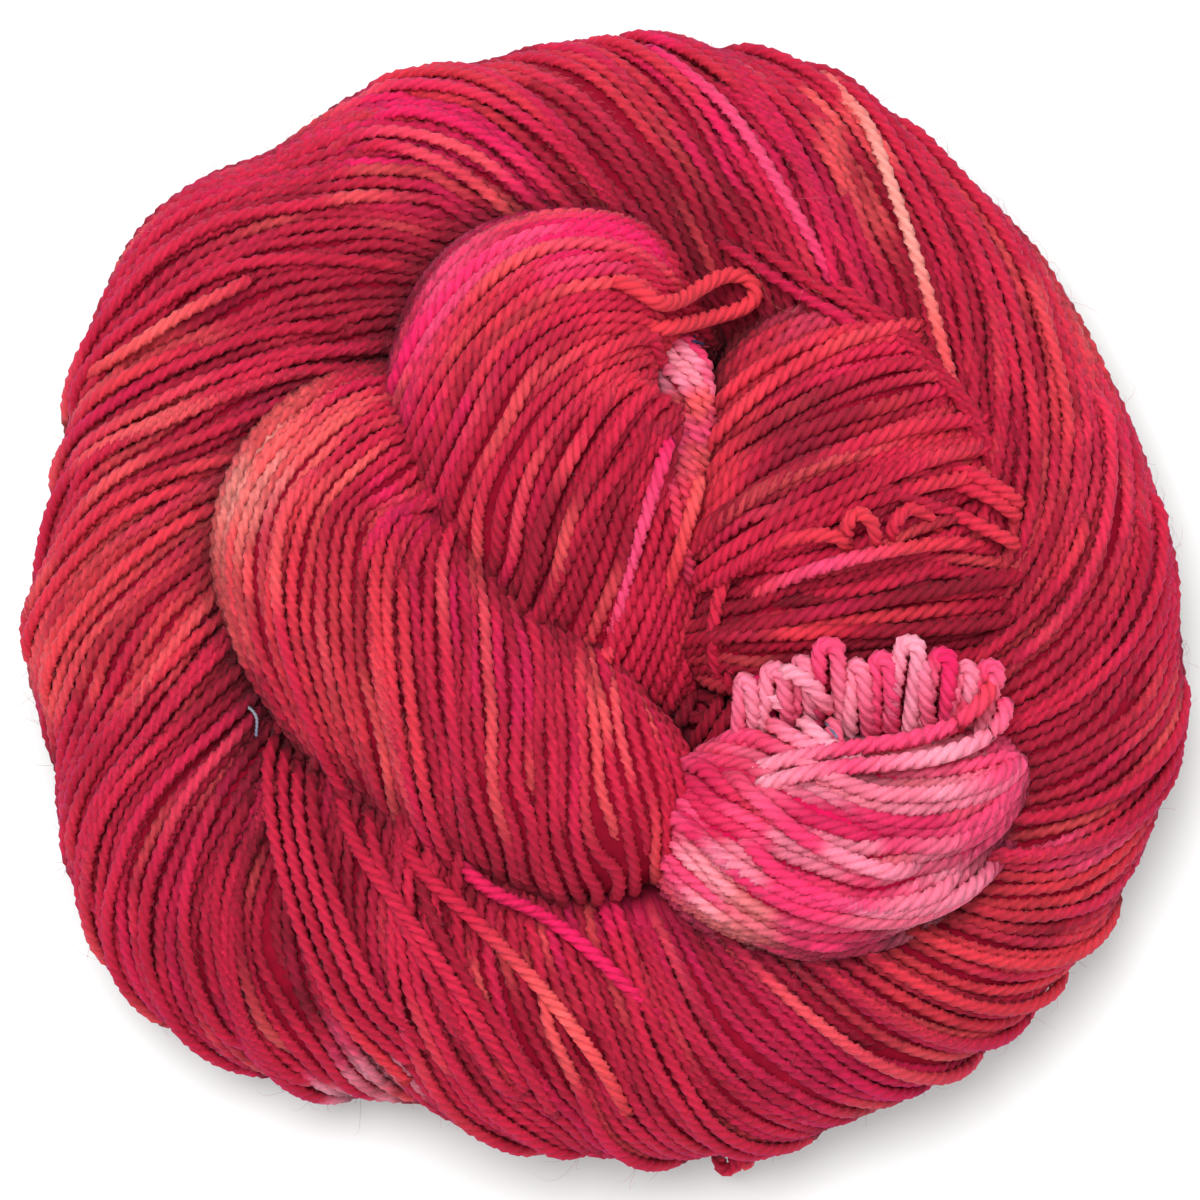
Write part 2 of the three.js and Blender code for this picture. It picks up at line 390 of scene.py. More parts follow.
@dataclass(frozen=True)
class Survey:
    """Sections of a lobe at even steps along its middle line."""

    run: Array
    middle: Array
    along: Array
    side: Array
    up: Array
    half_width: Array
    half_height: Array
    turn: Array
    lay: Array

    LEAST = 0.3  # share of a section that the deepest inset leaves

    def part(self, rows: slice) -> "Survey":
        """The same survey for some of its sections."""
        return Survey(*(getattr(self, item.name)[rows] for item in fields(self)))

    def place(self, angle: Array, inset: Array) -> tuple[Array, Array]:
        """Places round the surveyed sections.

        Args:
            angle: Angle round each section, in radians, from its left side over the top.
            inset: How deep each place lies under the surface.

        Returns:
            The places, and the direction out of the lobe there.
        """
        wide = np.maximum(self.half_width - inset, self.LEAST * self.half_width)
        high = np.maximum(self.half_height - inset, self.LEAST * self.half_height)
        c, s = np.cos(angle), np.sin(angle)
        points = (
            self.middle + (wide * c)[:, None] * self.side + (high * s)[:, None] * self.up
        )
        outward = unit((c / wide)[:, None] * self.side + (s / high)[:, None] * self.up)
        return points, outward

    def round(self) -> Array:
        """Distance round each section, by a close formula for an oval."""
        a, b = self.half_width, self.half_height
        return math.pi * (3 * (a + b) - np.sqrt((3 * a + b) * (a + 3 * b)))


@dataclass(frozen=True)
class Lobe:
    """One lobe of the coiled rope: rows of x, y, z, half width, half height and lay."""

    name: str
    stations: Array

    def survey(self, step: float = SURVEY_STEP) -> Survey:
        """Work out the lobe's sections at even steps."""
        rows = self.stations * np.array([MM] * 5 + [1.0])
        fine = catmull(rows, np.linspace(0.0, 1.0, SURVEY_DETAIL * len(rows)))
        run = along_route(fine[:, :3])
        even = np.linspace(0.0, run[-1], int(run[-1] / step) + 1)
        form = resample(even, run, fine)
        along = unit(np.gradient(form[:, :3], axis=0))
        side = unit(np.stack([-along[:, 1], along[:, 0], np.zeros(len(even))], axis=1))
        up = np.cross(along, side)
        broad = np.maximum(form[:, 3], form[:, 4])
        lay = np.radians(form[:, 5])
        turn = np.cumsum(np.gradient(even) * np.tan(lay) / broad)
        return Survey(even, form[:, :3], along, side, up, form[:, 3], form[:, 4], turn, lay)


def ring_stations(rows: Sequence[Sequence[float]]) -> Array:
    """Turn rows of bearing, edge, half width, half height, lift and lay into stations."""
    bearing, edge, wide, high, lift, lay = np.array(rows, float).T
    reach, angle = edge - wide, np.radians(bearing)
    height = high - FLATTENING + lift
    x, y = reach * np.cos(angle), reach * np.sin(angle)
    return np.stack([x, y, height, wide, high, lay], axis=1)


OUTER_TURN = Lobe("outer_turn", ring_stations([
    (263, 56, 9, 6, 0, 50),
    (256, 60.4, 12.8, 9, 0, 52),
    (249, 65.2, 15.2, 11.5, 0, 54),
    (241, 71, 18, 14.5, 0, 54),
    (230, 75.6, 20.2, 17.4, 0, 54),
    (219, 78.8, 22.2, 18.9, 0, 54),
    (208, 77.8, 21.6, 19.5, 0, 56),
    (197, 74.7, 19.7, 19.5, 0, 55),
    (185, 75.4, 21, 19.5, 0, 48),
    (173, 73, 19.1, 19.3, 0, 43),
    (161, 73.8, 19.6, 19.3, 0, 55),
    (150, 76.4, 21.4, 19.5, 0, 45),
    (139, 78.4, 22.8, 19.5, 0, 36),
    (127, 74.2, 19.6, 19.3, 0, 31),
    (117, 74.6, 20.6, 19.3, 0, 35),
    (105, 73.4, 19.8, 19.3, 0, 52),
    (93, 74.3, 20.7, 19.5, 0, 57),
    (80, 74.5, 20.7, 19.5, 0, 55),
    (67, 75.6, 21.8, 19.5, 0, 45),
    (54, 73.6, 20.2, 19.3, 0, 34),
    (41, 73.4, 20.4, 19.2, 0, 30),
    (28, 72.6, 19.8, 19.2, 0, 27),
    (15, 73.1, 20.1, 19.3, 0, 30),
    (2, 74.7, 20.9, 19.4, 0, 40),
    (-12, 75.9, 21.1, 19.5, 0, 54),
    (-26, 76.8, 21.4, 19.6, 0, 59),
    (-40, 76, 20.9, 19.6, 0, 68),
    (-54, 75, 20.8, 19.6, 0, 70),
    (-68, 73.3, 20.3, 19.6, 0, 64),
    (-80, 72.2, 20.2, 19.5, 0, 66),
    (-91, 71, 20, 19.4, 0.8, 58),
    (-102, 69.8, 20, 19.2, 3, 47),
    (-113, 66.6, 20, 19, 6, 42),
    (-124, 61.6, 19.8, 18.4, 8.4, 35),
    (-136, 55.6, 19.2, 17.6, 9.6, 27),
    (-148, 50.4, 17.2, 15.6, 10, 19),
    (-159, 47.6, 13.6, 12.2, 10.6, 14),
    (-169, 44.6, 8.6, 8, 12, 10),
    (-176, 42, 4, 4, 14, 10),
]))

INNER_TURN = Lobe("inner_turn", np.array([
    (-33, -20, 8, 5, 5, 40),
    (-33, -13, 12, 11, 10, 40),
    (-31, 0, 14, 16, 14, 42),
    (-24, 15, 14, 17, 14.5, 42),
    (-10, 25, 14, 17, 14.5, 42),
    (8, 26, 14, 17, 14.5, 42),
    (23, 16, 14, 17, 14.5, 42),
    (30, 1, 14, 17, 14.5, 42),
    (25, -15, 14, 17, 14.5, 42),
    (12, -25, 14, 16.5, 14, 42),
    (-3, -22, 13, 15, 13, 42),
    (-9, -10, 12, 13, 12, 42),
    (-4, -1, 11, 10, 10.5, 42),
    (3, 1, 9, 5, 6, 42),
], float))

LONG_LOBE = Lobe("long_lobe", np.array([
    (-13, 24, 19, 5, 5, 6),
    (-18, 23.2, 24, 9, 9, 8),
    (-24.2, 21, 29, 13.4, 13, 10),
    (-30, 16.4, 32.6, 17, 16.4, 16),
    (-32.8, 9.8, 34.4, 18.6, 17.6, 28),
    (-30.4, 1.5, 35.4, 19.1, 18.2, 38),
    (-22.8, -8.1, 35.4, 19.2, 18.4, 44),
    (-13.6, -16.6, 34.4, 18.7, 18.2, 52),
    (-5.2, -22.3, 32.4, 17, 17.2, 61),
    (2, -25.2, 29, 13.4, 14.6, 68),
    (6.8, -26.6, 25, 8, 9, 72),
    (9, -27.4, 22, 4, 4.5, 72),
], float))

FAN_LOBE = Lobe("fan_lobe", np.array([
    (13, 33.2, 24, 3, 4, 2),
    (10, 35, 28, 5, 7, 6),
    (5.6, 37, 32, 8.8, 10.4, 12),
    (0, 38.2, 35, 14.8, 15.2, 20),
    (-5.4, 34, 36.4, 20.2, 17.8, 30),
    (-8, 25.6, 36.4, 21.4, 18.4, 40),
    (-8, 16.4, 34, 21, 18.4, 45),
    (-5.2, 8, 29.6, 19.6, 17.8, 56),
    (-1, 0.4, 24, 17.4, 16.4, 54),
    (4, -6.6, 18, 13, 13, 46),
    (8, -12, 13, 7, 7, 40),
], float))

CREASE_TURNS = Lobe("crease_turns", np.array([
    (7.4, 35.4, 36, 2.2, 2, -44),
    (8.6, 33.4, 40.4, 3.6, 2.8, -44),
    (9.8, 30.4, 42.5, 4.4, 3.2, -44),
    (10.4, 27, 42.9, 4.2, 3.2, -42),
    (10.6, 22.4, 42.7, 3.8, 3.2, -40),
    (10.4, 17.4, 41.9, 3.1, 3, -34),
    (9.7, 11, 39.6, 2.4, 2.8, -24),
    (9.2, 3, 34.4, 2, 2.6, -20),
    (8.4, -3, 29, 1.8, 2, -20),
], float))

SIDE_FAN = Lobe("side_fan", np.array([
    (9.5, 7.2, 20, 4, 5, -22),
    (14, 10.2, 26.5, 9, 11, -22),
    (20, 13.8, 30.8, 14.8, 15, -14),
    (26.5, 17.4, 32.2, 20.6, 16, -2),
    (33, 20.4, 30.4, 22.4, 15.4, 4),
    (38.6, 22.4, 26.4, 20.4, 14.2, 8),
    (42.8, 23.8, 22.6, 16.4, 12.6, 12),
    (46, 24.6, 16, 10, 10, 14),
], float))

LEVEL_LOBE = Lobe("level_lobe", np.array([
    (11.4, -3.8, 22, 4, 4, 2),
    (16, -2.4, 28, 9, 9, 4),
    (24, -0.6, 30.4, 12.4, 11.6, 6),
    (33, 1.4, 30.8, 13.4, 11.8, 7),
    (41, 3, 30.2, 13, 11.6, 7),
    (46.2, 4, 28, 10.8, 10.8, 6),
    (49.4, 4.6, 23, 5.4, 6.4, 4),
], float))

END_KNOB = Lobe("end_knob", np.array([
    (9.4, -24.6, 24, 4, 5, 20),
    (11.8, -26, 28, 9.2, 9.2, 20),
    (15.2, -27.6, 31, 13, 12.4, 20),
    (20.6, -29.4, 33, 15.3, 14.6, 22),
    (27.8, -30.2, 34.4, 15.8, 15.4, 26),
    (35.4, -28.8, 35, 14, 15, 32),
    (42, -25.4, 35, 11.5, 13.2, 30),
    (47.6, -22, 34.6, 8.4, 10.6, 16),
    (51.4, -19.8, 33.8, 5.2, 7, 4),
    (53, -19, 33.2, 2.6, 4, 0),
], float))


# Laying yarn

def build_object(name: str, mesh: bpy.types.Mesh, finish: bpy.types.Material) -> bpy.types.Object:
    """Put a mesh in the scene as a smooth piece of the hank."""
    mesh.materials.append(finish)
    piece = bpy.data.objects.new(name, mesh)
    bpy.context.scene.collection.objects.link(piece)
    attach(piece, "root")
    return piece


def lay_yarn(name: str, strands: Sequence[Strand], finish: bpy.types.Material) -> bpy.types.Object:
    """Bend straight lengths of yarn onto their routes and join them in one piece.

    Args:
        name: Name of the piece.
        strands: The lengths, each with its route and colours.
        finish: Its material.

    Returns:
        The piece.
    """
    blocks = [WHEEL.length(strand.yarn, len(strand.points) - 1) for strand in strands]
    counts = np.array([len(block.points) for block in blocks])
    rings = np.array([len(strand.points) for strand in strands])
    first_vert = np.r_[0, np.cumsum(counts)[:-1]]
    first_ring = np.repeat(np.r_[0, np.cumsum(rings)[:-1]], counts)
    flat = np.vstack([block.points for block in blocks])
    ring = np.rint(flat[:, 2]).astype(int) + first_ring
    route = np.vstack([strand.points for strand in strands])
    along = unit(np.vstack([np.gradient(strand.points, axis=0) for strand in strands]))
    outward = np.vstack([strand.outward for strand in strands])
    normal = unit(outward - np.sum(outward * along, axis=1, keepdims=True) * along)
    across = np.cross(along, normal)
    radius = np.concatenate([strand.girth * strand.yarn.radius for strand in strands])[ring]
    points = (
        route[ring]
        + (flat[:, 0] * radius)[:, None] * normal[ring]
        + (flat[:, 1] * radius)[:, None] * across[ring]
    )
    points[:, 2] = np.maximum(points[:, 2], 0.0)
    mesh = join_blocks(name, blocks, first_vert, points)
    run = np.concatenate([along_route(strand.points) for strand in strands])[ring]
    shift = np.repeat(np.arange(len(strands)) * STREAK_SHIFT, counts)
    turned = np.concatenate([block.turned for block in blocks])
    lie = np.stack([np.cos(turned), np.sin(turned), run / MM + shift], axis=1)
    spread = np.hypot(flat[:, 0], flat[:, 1])
    lowest = np.repeat([strand.yarn.section.lowest for strand in strands], counts)
    groove = np.maximum(1.0 - lowest, LEAST_GROOVE)
    crest = np.where(lowest < 1.0, (spread - lowest) / groove, 1.0)
    # The dye colours carry any painted shade and highlight that was mixed into them.
    tint = np.ones((len(points), 4))
    tint[:, :3] = np.vstack([strand.colours for strand in strands])[ring]
    write_attribute(mesh, "dye", "FLOAT_COLOR", "color", tint)
    write_attribute(mesh, "lie", "FLOAT_VECTOR", "vector", lie)
    write_attribute(mesh, "crest", "FLOAT", "value", crest)
    piece = build_object(name, mesh, finish)
    log.info("%s: %d lengths, %d faces", name, len(strands), len(mesh.polygons))
    return piece


def join_blocks(name: str, blocks: Sequence[Length], first: Array,
                points: Array) -> bpy.types.Mesh:
    """Join straight lengths in one mesh, with their points already in place."""
    corners = np.concatenate([block.corners + start for block, start in zip(blocks, first)])
    sizes = np.concatenate([block.sizes for block in blocks])
    mesh = bpy.data.meshes.new(name)
    mesh.vertices.add(len(points))
    mesh.vertices.foreach_set("co", points.astype(np.float32).ravel())
    mesh.loops.add(len(corners))
    mesh.loops.foreach_set("vertex_index", corners.astype(np.int32))
    mesh.polygons.add(len(sizes))
    starts = np.r_[0, np.cumsum(sizes)[:-1]].astype(np.int32)
    mesh.polygons.foreach_set("loop_start", starts)
    mesh.polygons.foreach_set("use_smooth", np.ones(len(sizes), bool))
    mesh.update(calc_edges=True)
    return mesh


def write_attribute(mesh: bpy.types.Mesh, name: str, kind: str, key: str, values: Array) -> None:
    """Store one value for each point of a mesh."""
    layer = mesh.attributes.new(name, kind, "POINT")
    layer.data.foreach_set(key, np.asarray(values, np.float32).ravel())


def cut_to_length(yarn: Yarn, points: Array, outward: Array, colours: Array,
                  girth: float = 1.0) -> Strand:
    """Measure a route off in even rings."""
    run = along_route(points)
    count = max(3, int(round(run[-1] / yarn.step)))
    even = np.linspace(0.0, run[-1], count + 1)
    rows = resample(even, run, np.hstack([points, outward, colours]))
    rows[:, 2] = np.maximum(rows[:, 2], FLOOR_ROOM * yarn.radius)
    return Strand(yarn, rows[:, :3], rows[:, 3:6], rows[:, 6:9], np.full(count + 1, girth))


def stretches(flags: Array) -> list[tuple[int, int]]:
    """First and last place of each unbroken run of true flags."""
    edges = np.flatnonzero(np.diff(np.r_[0, flags.astype(int), 0]))
    return [(first, last - 1) for first, last in zip(edges[::2], edges[1::2])]


@dataclass
class Winding:
    """Turns of yarn laid side by side round one lobe.

    The pitch and the depths are in thicknesses of the yarn, the ends are shares of the lobe's
    length, and the turns show between two angles round it, from its left side over the top.
    """

    lobe: Lobe
    bath: DyeBath
    riders: int
    seed: int
    yarn: Yarn = FIRM
    shown: tuple[float, float] = (-55.0, 135.0)
    ends: tuple[float, float] = (0.02, 0.98)
    pitch: float = 0.83
    wander: float = 0.3
    sway: float = 1.1
    uneven: float = 0.13
    fine: list[Strand] = field(default_factory=list)
    plain: list[Strand] = field(default_factory=list)

    SHARED_LENGTH = 80.0 * MM  # longest wave of the sway that all the turns share
    SHARED_SHIFTS = (9.0 * MM, -14.0 * MM)  # how far it runs on from one side to the other
    OWN_LENGTH = 42.0 * MM  # longest wave of each turn's own wandering
    DEPTH_LENGTH = 30.0 * MM
    DEPTHS = (-0.6, 0.9)  # least and most that a whole turn lies deep
    SINKING = 0.1  # share of the turns that are on their way down at once
    SUNK_DEPTH = 1.05
    GONE = 0.97  # a turn sunk further than this isn't laid
    GIRTHS = (0.88, 1.08)
    RIDER_LENGTHS = (26.0, 60.0)
    RIDER_DRIFTS = (1.2, 3.6)  # how many turns a rider crosses
    RIDER_MARGIN = 32.0  # degrees that a rider keeps from the edges of what shows
    RIDER_SLOPE = 0.2  # share of its length that it takes to come up
    RIDER_RISE = (1.15, 1.85)  # depth of its ends, and how far it comes up from there
    RIDER_ROWS = 40  # a rider of fewer surveyed sections isn't laid

    def lay(self) -> "Winding":
        """Lay every turn, the fine ones where they show and plain ones where they don't."""
        whole = self.lobe.survey()
        last = len(whole.run) - 1
        survey = whole.part(slice(int(last * self.ends[0]), int(last * self.ends[1]) + 1))
        rng = np.random.default_rng(self.seed)
        room = survey.round() * np.cos(survey.lay) / (self.pitch * self.yarn.thickness)
        count = int(math.ceil(room.max()))
        rank = np.mod(np.arange(count) * GOLDEN_SHARE, 1.0)[:, None] * count
        raised = ease((room - rank) / (self.SINKING * count) + 0.5)
        around = (np.cumsum(raised, axis=0) - 0.5 * raised) / raised.sum(axis=0) * FULL_TURN
        gap = FULL_TURN / raised.sum(axis=0)
        common = [Drift(rng, self.SHARED_LENGTH) for _ in self.SHARED_SHIFTS]
        for number in range(count):
            self._lay_turn(survey, around[number], 1.0 - raised[number], gap, common, rng)
        for _ in range(self.riders):
            self._lay_rider(survey, gap, rng)
        log.info("%s: %d turns", self.lobe.name, count)
        return self

    def _angle(self, survey: Survey, own: Array) -> Array:
        """Angle round the lobe of a turn, spaced evenly along the section's edge."""
        wide, high = survey.half_width, survey.half_height
        even = survey.turn + own
        return even + 0.5 * (wide - high) / (wide + high) * np.sin(2.0 * even)

    def _lay_turn(self, survey: Survey, around: Array, sunk: Array, gap: Array,
                  common: Sequence[Drift], rng: np.random.Generator) -> None:
        """Lay one turn and cut it where it goes out of sight."""
        run = survey.run
        shared = sum(drift.at(run + shift * around)
                     for drift, shift in zip(common, self.SHARED_SHIFTS))
        own = self.wander * Drift(rng, self.OWN_LENGTH).at(run) + 0.5 * self.sway * shared
        angle = self._angle(survey, around + gap * own)
        depth = Drift(rng, self.DEPTH_LENGTH).at(run) + rng.uniform(*self.DEPTHS)
        depth = self.SUNK_DEPTH * sunk + self.uneven * depth * (1 - sunk)
        inset = self.yarn.radius + self.yarn.thickness * depth
        points, outward = survey.place(angle, inset)
        colours = self.bath.colours(points, run, rng)
        low, high = self.shown
        seen = np.mod(np.degrees(angle) - low, 360.0) <= high - low
        raised = sunk < self.GONE
        girth = rng.uniform(*self.GIRTHS)
        for flags, yarn, store in ((seen & raised, self.yarn, self.fine),
                                   (~seen & raised, HIDDEN, self.plain)):
            for first, last in stretches(flags):
                if last - first < 3 * OVERLAP:
                    continue
                part = slice(max(first - OVERLAP, 0), last + OVERLAP)
                store.append(
                    cut_to_length(yarn, points[part], outward[part], colours[part], girth)
                )

    def _lay_rider(self, survey: Survey, gap: Array, rng: np.random.Generator) -> None:
        """Lay one turn that rides over its neighbours for a while."""
        length = rng.uniform(*self.RIDER_LENGTHS) * MM
        start = rng.uniform(0.0, max(survey.run[-1] - survey.run[0] - length, 1.0 * MM))
        start += survey.run[0]
        rows = np.flatnonzero((survey.run >= start) & (survey.run <= start + length))
        if len(rows) < self.RIDER_ROWS:
            return
        stretch = survey.part(slice(rows[0], rows[-1] + 1))
        share = (stretch.run - start) / length
        low, high = self.shown
        lowest, highest = max(low, 0.0) + self.RIDER_MARGIN, min(high, 180.0) - self.RIDER_MARGIN
        top = math.radians(rng.uniform(lowest, highest))
        middle = len(rows) // 2
        drift = rng.choice([-1.0, 1.0]) * rng.uniform(*self.RIDER_DRIFTS) * gap[rows[middle]]
        angle = self._angle(stretch, top - stretch.turn[middle] + drift * (share - 0.5))
        above = ease(np.minimum(share, 1.0 - share) / self.RIDER_SLOPE)
        deep, rise = self.RIDER_RISE
        inset = self.yarn.radius + self.yarn.thickness * (deep - rise * above)
        points, outward = stretch.place(angle, inset)
        colours = self.bath.colours(points, stretch.run, rng)
        self.fine.append(cut_to_length(self.yarn, points, outward, colours))


# Turns laid one by one

class Surface:
    """Height of the wound lobes, seen from above."""

    STEP = 1.0 * MM  # distance between two of its sections
    REACH = 1.2 * MM  # how far along the lobe a section still counts

    def __init__(self, lobes: Sequence[Lobe]) -> None:
        """Gather the sections of the lobes."""
        surveys = [lobe.survey(self.STEP) for lobe in lobes]
        self._middle = np.vstack([survey.middle for survey in surveys])
        self._side = np.vstack([survey.side for survey in surveys])[:, :2]
        self._ahead = unit(np.vstack([survey.along for survey in surveys])[:, :2])
        self._wide = np.concatenate([survey.half_width for survey in surveys])
        self._high = np.concatenate([survey.half_height for survey in surveys])

    def height(self, places: Array) -> Array:
        """Height of the top surface over each place.

        Args:
            places: Rows of x and y.

        Returns:
            One height for each row, 0 beside the hank.
        """
        offset = places[:, None, :] - self._middle[None, :, :2]
        ahead = np.abs(np.sum(offset * self._ahead, axis=2))
        aside = np.sum(offset * self._side, axis=2) / self._wide
        dome = self._high * np.sqrt(np.maximum(1.0 - aside * aside, 0.0))
        inside = (ahead < self.REACH) & (np.abs(aside) < 1.0)
        return np.max(np.where(inside, self._middle[:, 2] + dome, 0.0), axis=1)


class Creases:
    """Painted shade: how much the yarn's colour is darkened in the creases between the lobes,
    where little light gets in.
    """

    HALF = 57  # cells from the middle of the map to its edge
    BATCHES = 120  # the map is worked out in as many parts
    SUNK_LOSS = 0.34  # light lost for each millimetre under the ground round a place
    BURIED_LOSS = 0.2  # light lost for each millimetre inside the hank
    SKIN = 3.0 * MM  # depth up to which a place isn't inside
    DARKEST = 0.16

    def __init__(self, surface: Surface, reach: float = 6.0, cell: float = 1.5) -> None:
        """Map how far the ground round each place rises over it.

        Args:
            surface: The wound lobes.
            reach: How far a rise still shades a place, in millimetres.
            cell: Size of a cell of the map, in millimetres.
        """
        self._cell = cell * MM
        axis = np.arange(-self.HALF, self.HALF + 1) * self._cell
        grid = np.stack(np.meshgrid(axis, axis, indexing="ij"), axis=2).reshape(-1, 2)
        rows = [surface.height(part) for part in np.array_split(grid, self.BATCHES)]
        self._height = np.concatenate(rows).reshape(len(axis), len(axis))
        self._rise = self._height.copy()
        span = int(math.ceil(reach / cell))
        spread = np.exp(-0.5 * (np.arange(-span, span + 1) * cell / (0.5 * reach)) ** 2)
        spread /= spread.sum()
        for side in (0, 1):
            self._rise = np.apply_along_axis(np.convolve, side, self._rise, spread, "same")

    def shade(self, points: Array) -> Array:
        """Brightness of each place, from the darkest crease to 1 on open ground."""
        cell = np.rint(points[:, :2] / self._cell).astype(int) + self.HALF
        row, column = np.clip(cell, 0, 2 * self.HALF).T
        sunk = np.maximum(self._rise[row, column] - points[:, 2], 0.0) / MM
        buried = np.maximum(self._height[row, column] - points[:, 2] - self.SKIN, 0.0) / MM
        light = np.exp(-self.SUNK_LOSS * sunk) * np.exp(-self.BURIED_LOSS * buried)
        return light * (1.0 - self.DARKEST) + self.DARKEST


@dataclass(frozen=True)
class LaidTurn:
    """A single turn: x, y and lift over the surface along it, and its dyes from end to end."""

    stations: tuple[tuple[float, float, float], ...]
    dyes: tuple[Dye, ...]
    yarn: Yarn

    def strand(self, surface: Surface) -> Strand:
        """Lay the turn on the surface."""
        form = even_curve(np.array(self.stations, float) * MM, self.yarn.step)
        form[:, 2] += surface.height(form[:, :2]) + self.yarn.radius
        return dyed_strand(self.yarn, form, self.dyes)


@dataclass(frozen=True)
class Bight:
    """A turn that doubles back at a tip: two legs and the bend between them.

    The spread is the distance between the legs and the tilt turns them from side by side, at 0,
    to one over the other, at 90.
    """

    left: tuple[float, float, float]
    tip: tuple[float, float, float]
    right: tuple[float, float, float]
    dyes: tuple[Dye, ...]
    spread: float = 2.15
    tilt: float = 30.0
    arch: float = 0.8
    yarn: Yarn = PLUMP

    BEND = (-80.0, -40.0, 0.0, 40.0, 80.0)  # places round the bend, in degrees
    WAY_UP = 0.55  # where a leg arches most

    def strand(self) -> Strand:
        """Work out the route of the yarn."""
        left, tip, right = (np.array(place) * MM for place in (self.left, self.tip, self.right))
        foot = (left + right) / 2.0
        ahead = (tip - foot) / np.linalg.norm(tip - foot)
        aside = np.cross(ahead, UPWARD)
        aside /= np.linalg.norm(aside)
        lift = np.cross(aside, ahead)
        if np.dot(left - right, aside) > 0.0:
            aside = -aside
        angle = math.radians(self.tilt)
        half = self.spread * MM / 2.0
        apart = (math.cos(angle) * aside + math.sin(angle) * lift) * half
        bend = tip - ahead * half
        route = self._leg(left, bend - apart, ahead)
        for turn in self.BEND:
            place = math.radians(turn)
            route.append(bend + apart * math.sin(place) + ahead * half * math.cos(place))
        route += self._leg(right, bend + apart, ahead)[::-1]
        return dyed_strand(self.yarn, even_curve(np.array(route), self.yarn.step), self.dyes)

    def _leg(self, foot: Array, top: Array, ahead: Array) -> list[Array]:
        """Places up one leg, from its sunk end to a little past half way up."""
        rise = np.array((0.0, 0.0, self.arch * MM))
        middle = (1.0 - self.WAY_UP) * foot + self.WAY_UP * top + rise
        return [foot - ahead * 2.0 * MM - 2.0 * rise, foot, middle]


def dyed_strand(yarn: Yarn, points: Array, dyes: Sequence[Dye]) -> Strand:
    """Give a route its dyes, shaded from one to the next along it."""
    stops = np.array([dye.linear for dye in dyes])
    share = np.linspace(0.0, len(dyes) - 1.0, len(points)) if len(dyes) > 1 else 0.0
    colours = resample(np.broadcast_to(share, len(points)), np.arange(len(dyes)), stops)
    outward = np.tile(UPWARD, (len(points), 1))
    return Strand(yarn, points, outward, colours, np.ones(len(points)))


KNOB_LOOPS = (
    Bight((17.2, -16.2, 37), (18.2, -9, 41.6), (19.6, -16, 36.6), (PINK, BLUSH), tilt=55),
    Bight((20.2, -15, 38), (22, -7.4, 43), (23.8, -15, 37.6), (BLUSH, PINK), tilt=25),
    Bight((24.4, -14, 38), (25.6, -6.6, 42.4), (26.8, -14, 37.6), (PINK, BLUSH), tilt=60),
    Bight((27.4, -13.2, 38.6), (28.8, -4.2, 44.4), (30.4, -13.6, 38.2), (PINK, PINK, BLUSH),
          spread=2.3, tilt=8),
    Bight((31.6, -15, 38.6), (32.6, -7, 43), (34, -15, 38.2), (BLUSH, PINK), tilt=50),
    Bight((34.8, -14, 38.8), (35.8, -6, 43.6), (37.2, -14.4, 38.4), (PINK, PINK), tilt=35),
    Bight((36.8, -13.4, 39.4), (39.4, -4, 45), (39.6, -14, 39), (PINK, BLUSH, PINK), spread=2.3,
          tilt=14),
    Bight((39.4, -14.4, 39.8), (40.6, -6.8, 43.6), (41.8, -14.6, 39), (BLUSH, PINK), tilt=65),
    Bight((41.2, -13.6, 39.4), (43.6, -5.6, 44.2), (44, -14, 39), (BLUSH, FUCHSIA, PINK), tilt=20),
    Bight((44.2, -14.2, 39), (46.8, -7.4, 43), (46.8, -14.2, 38.6), (PINK, BLUSH), tilt=45),
    Bight((45.4, -15, 39.4), (50, -7.2, 43.4), (48.4, -15.4, 38.6), (SCARLET, PINK, BLUSH),
          tilt=25),
    Bight((19, -16, 34), (20.2, -9, 37.6), (21.4, -16, 34), (FUCHSIA,)),
    Bight((24.6, -16, 34), (26.8, -7.6, 38), (28.6, -16, 34), (FUCHSIA,)),
    Bight((30, -16, 34), (30.8, -7.2, 38.6), (32.4, -16, 34), (RASPBERRY,)),
    Bight((33.6, -16, 34), (34.2, -7.6, 38.6), (35.8, -16, 34), (FUCHSIA,)),
    Bight((38, -16, 34), (38, -8.2, 38.6), (40.6, -16, 34), (RASPBERRY,)),
    Bight((41.6, -16, 34), (42.6, -8.6, 38.6), (44.6, -16, 34), (FUCHSIA,)),
    Bight((45.6, -16, 34), (47.8, -9.6, 38), (49, -17, 34), (FUCHSIA,)),
    Bight((14.2, -63.6, 9), (16, -72.8, 8.6), (17, -63.6, 9), (CRIMSON, CRIMSON), spread=2.1,
          tilt=10, arch=0.2, yarn=OPEN),
    Bight((16.6, -64, 8.4), (18, -72, 8.2), (19, -64, 8.4), (SCARLET, CRIMSON), spread=2.1,
          tilt=40, arch=0.2, yarn=OPEN),
)
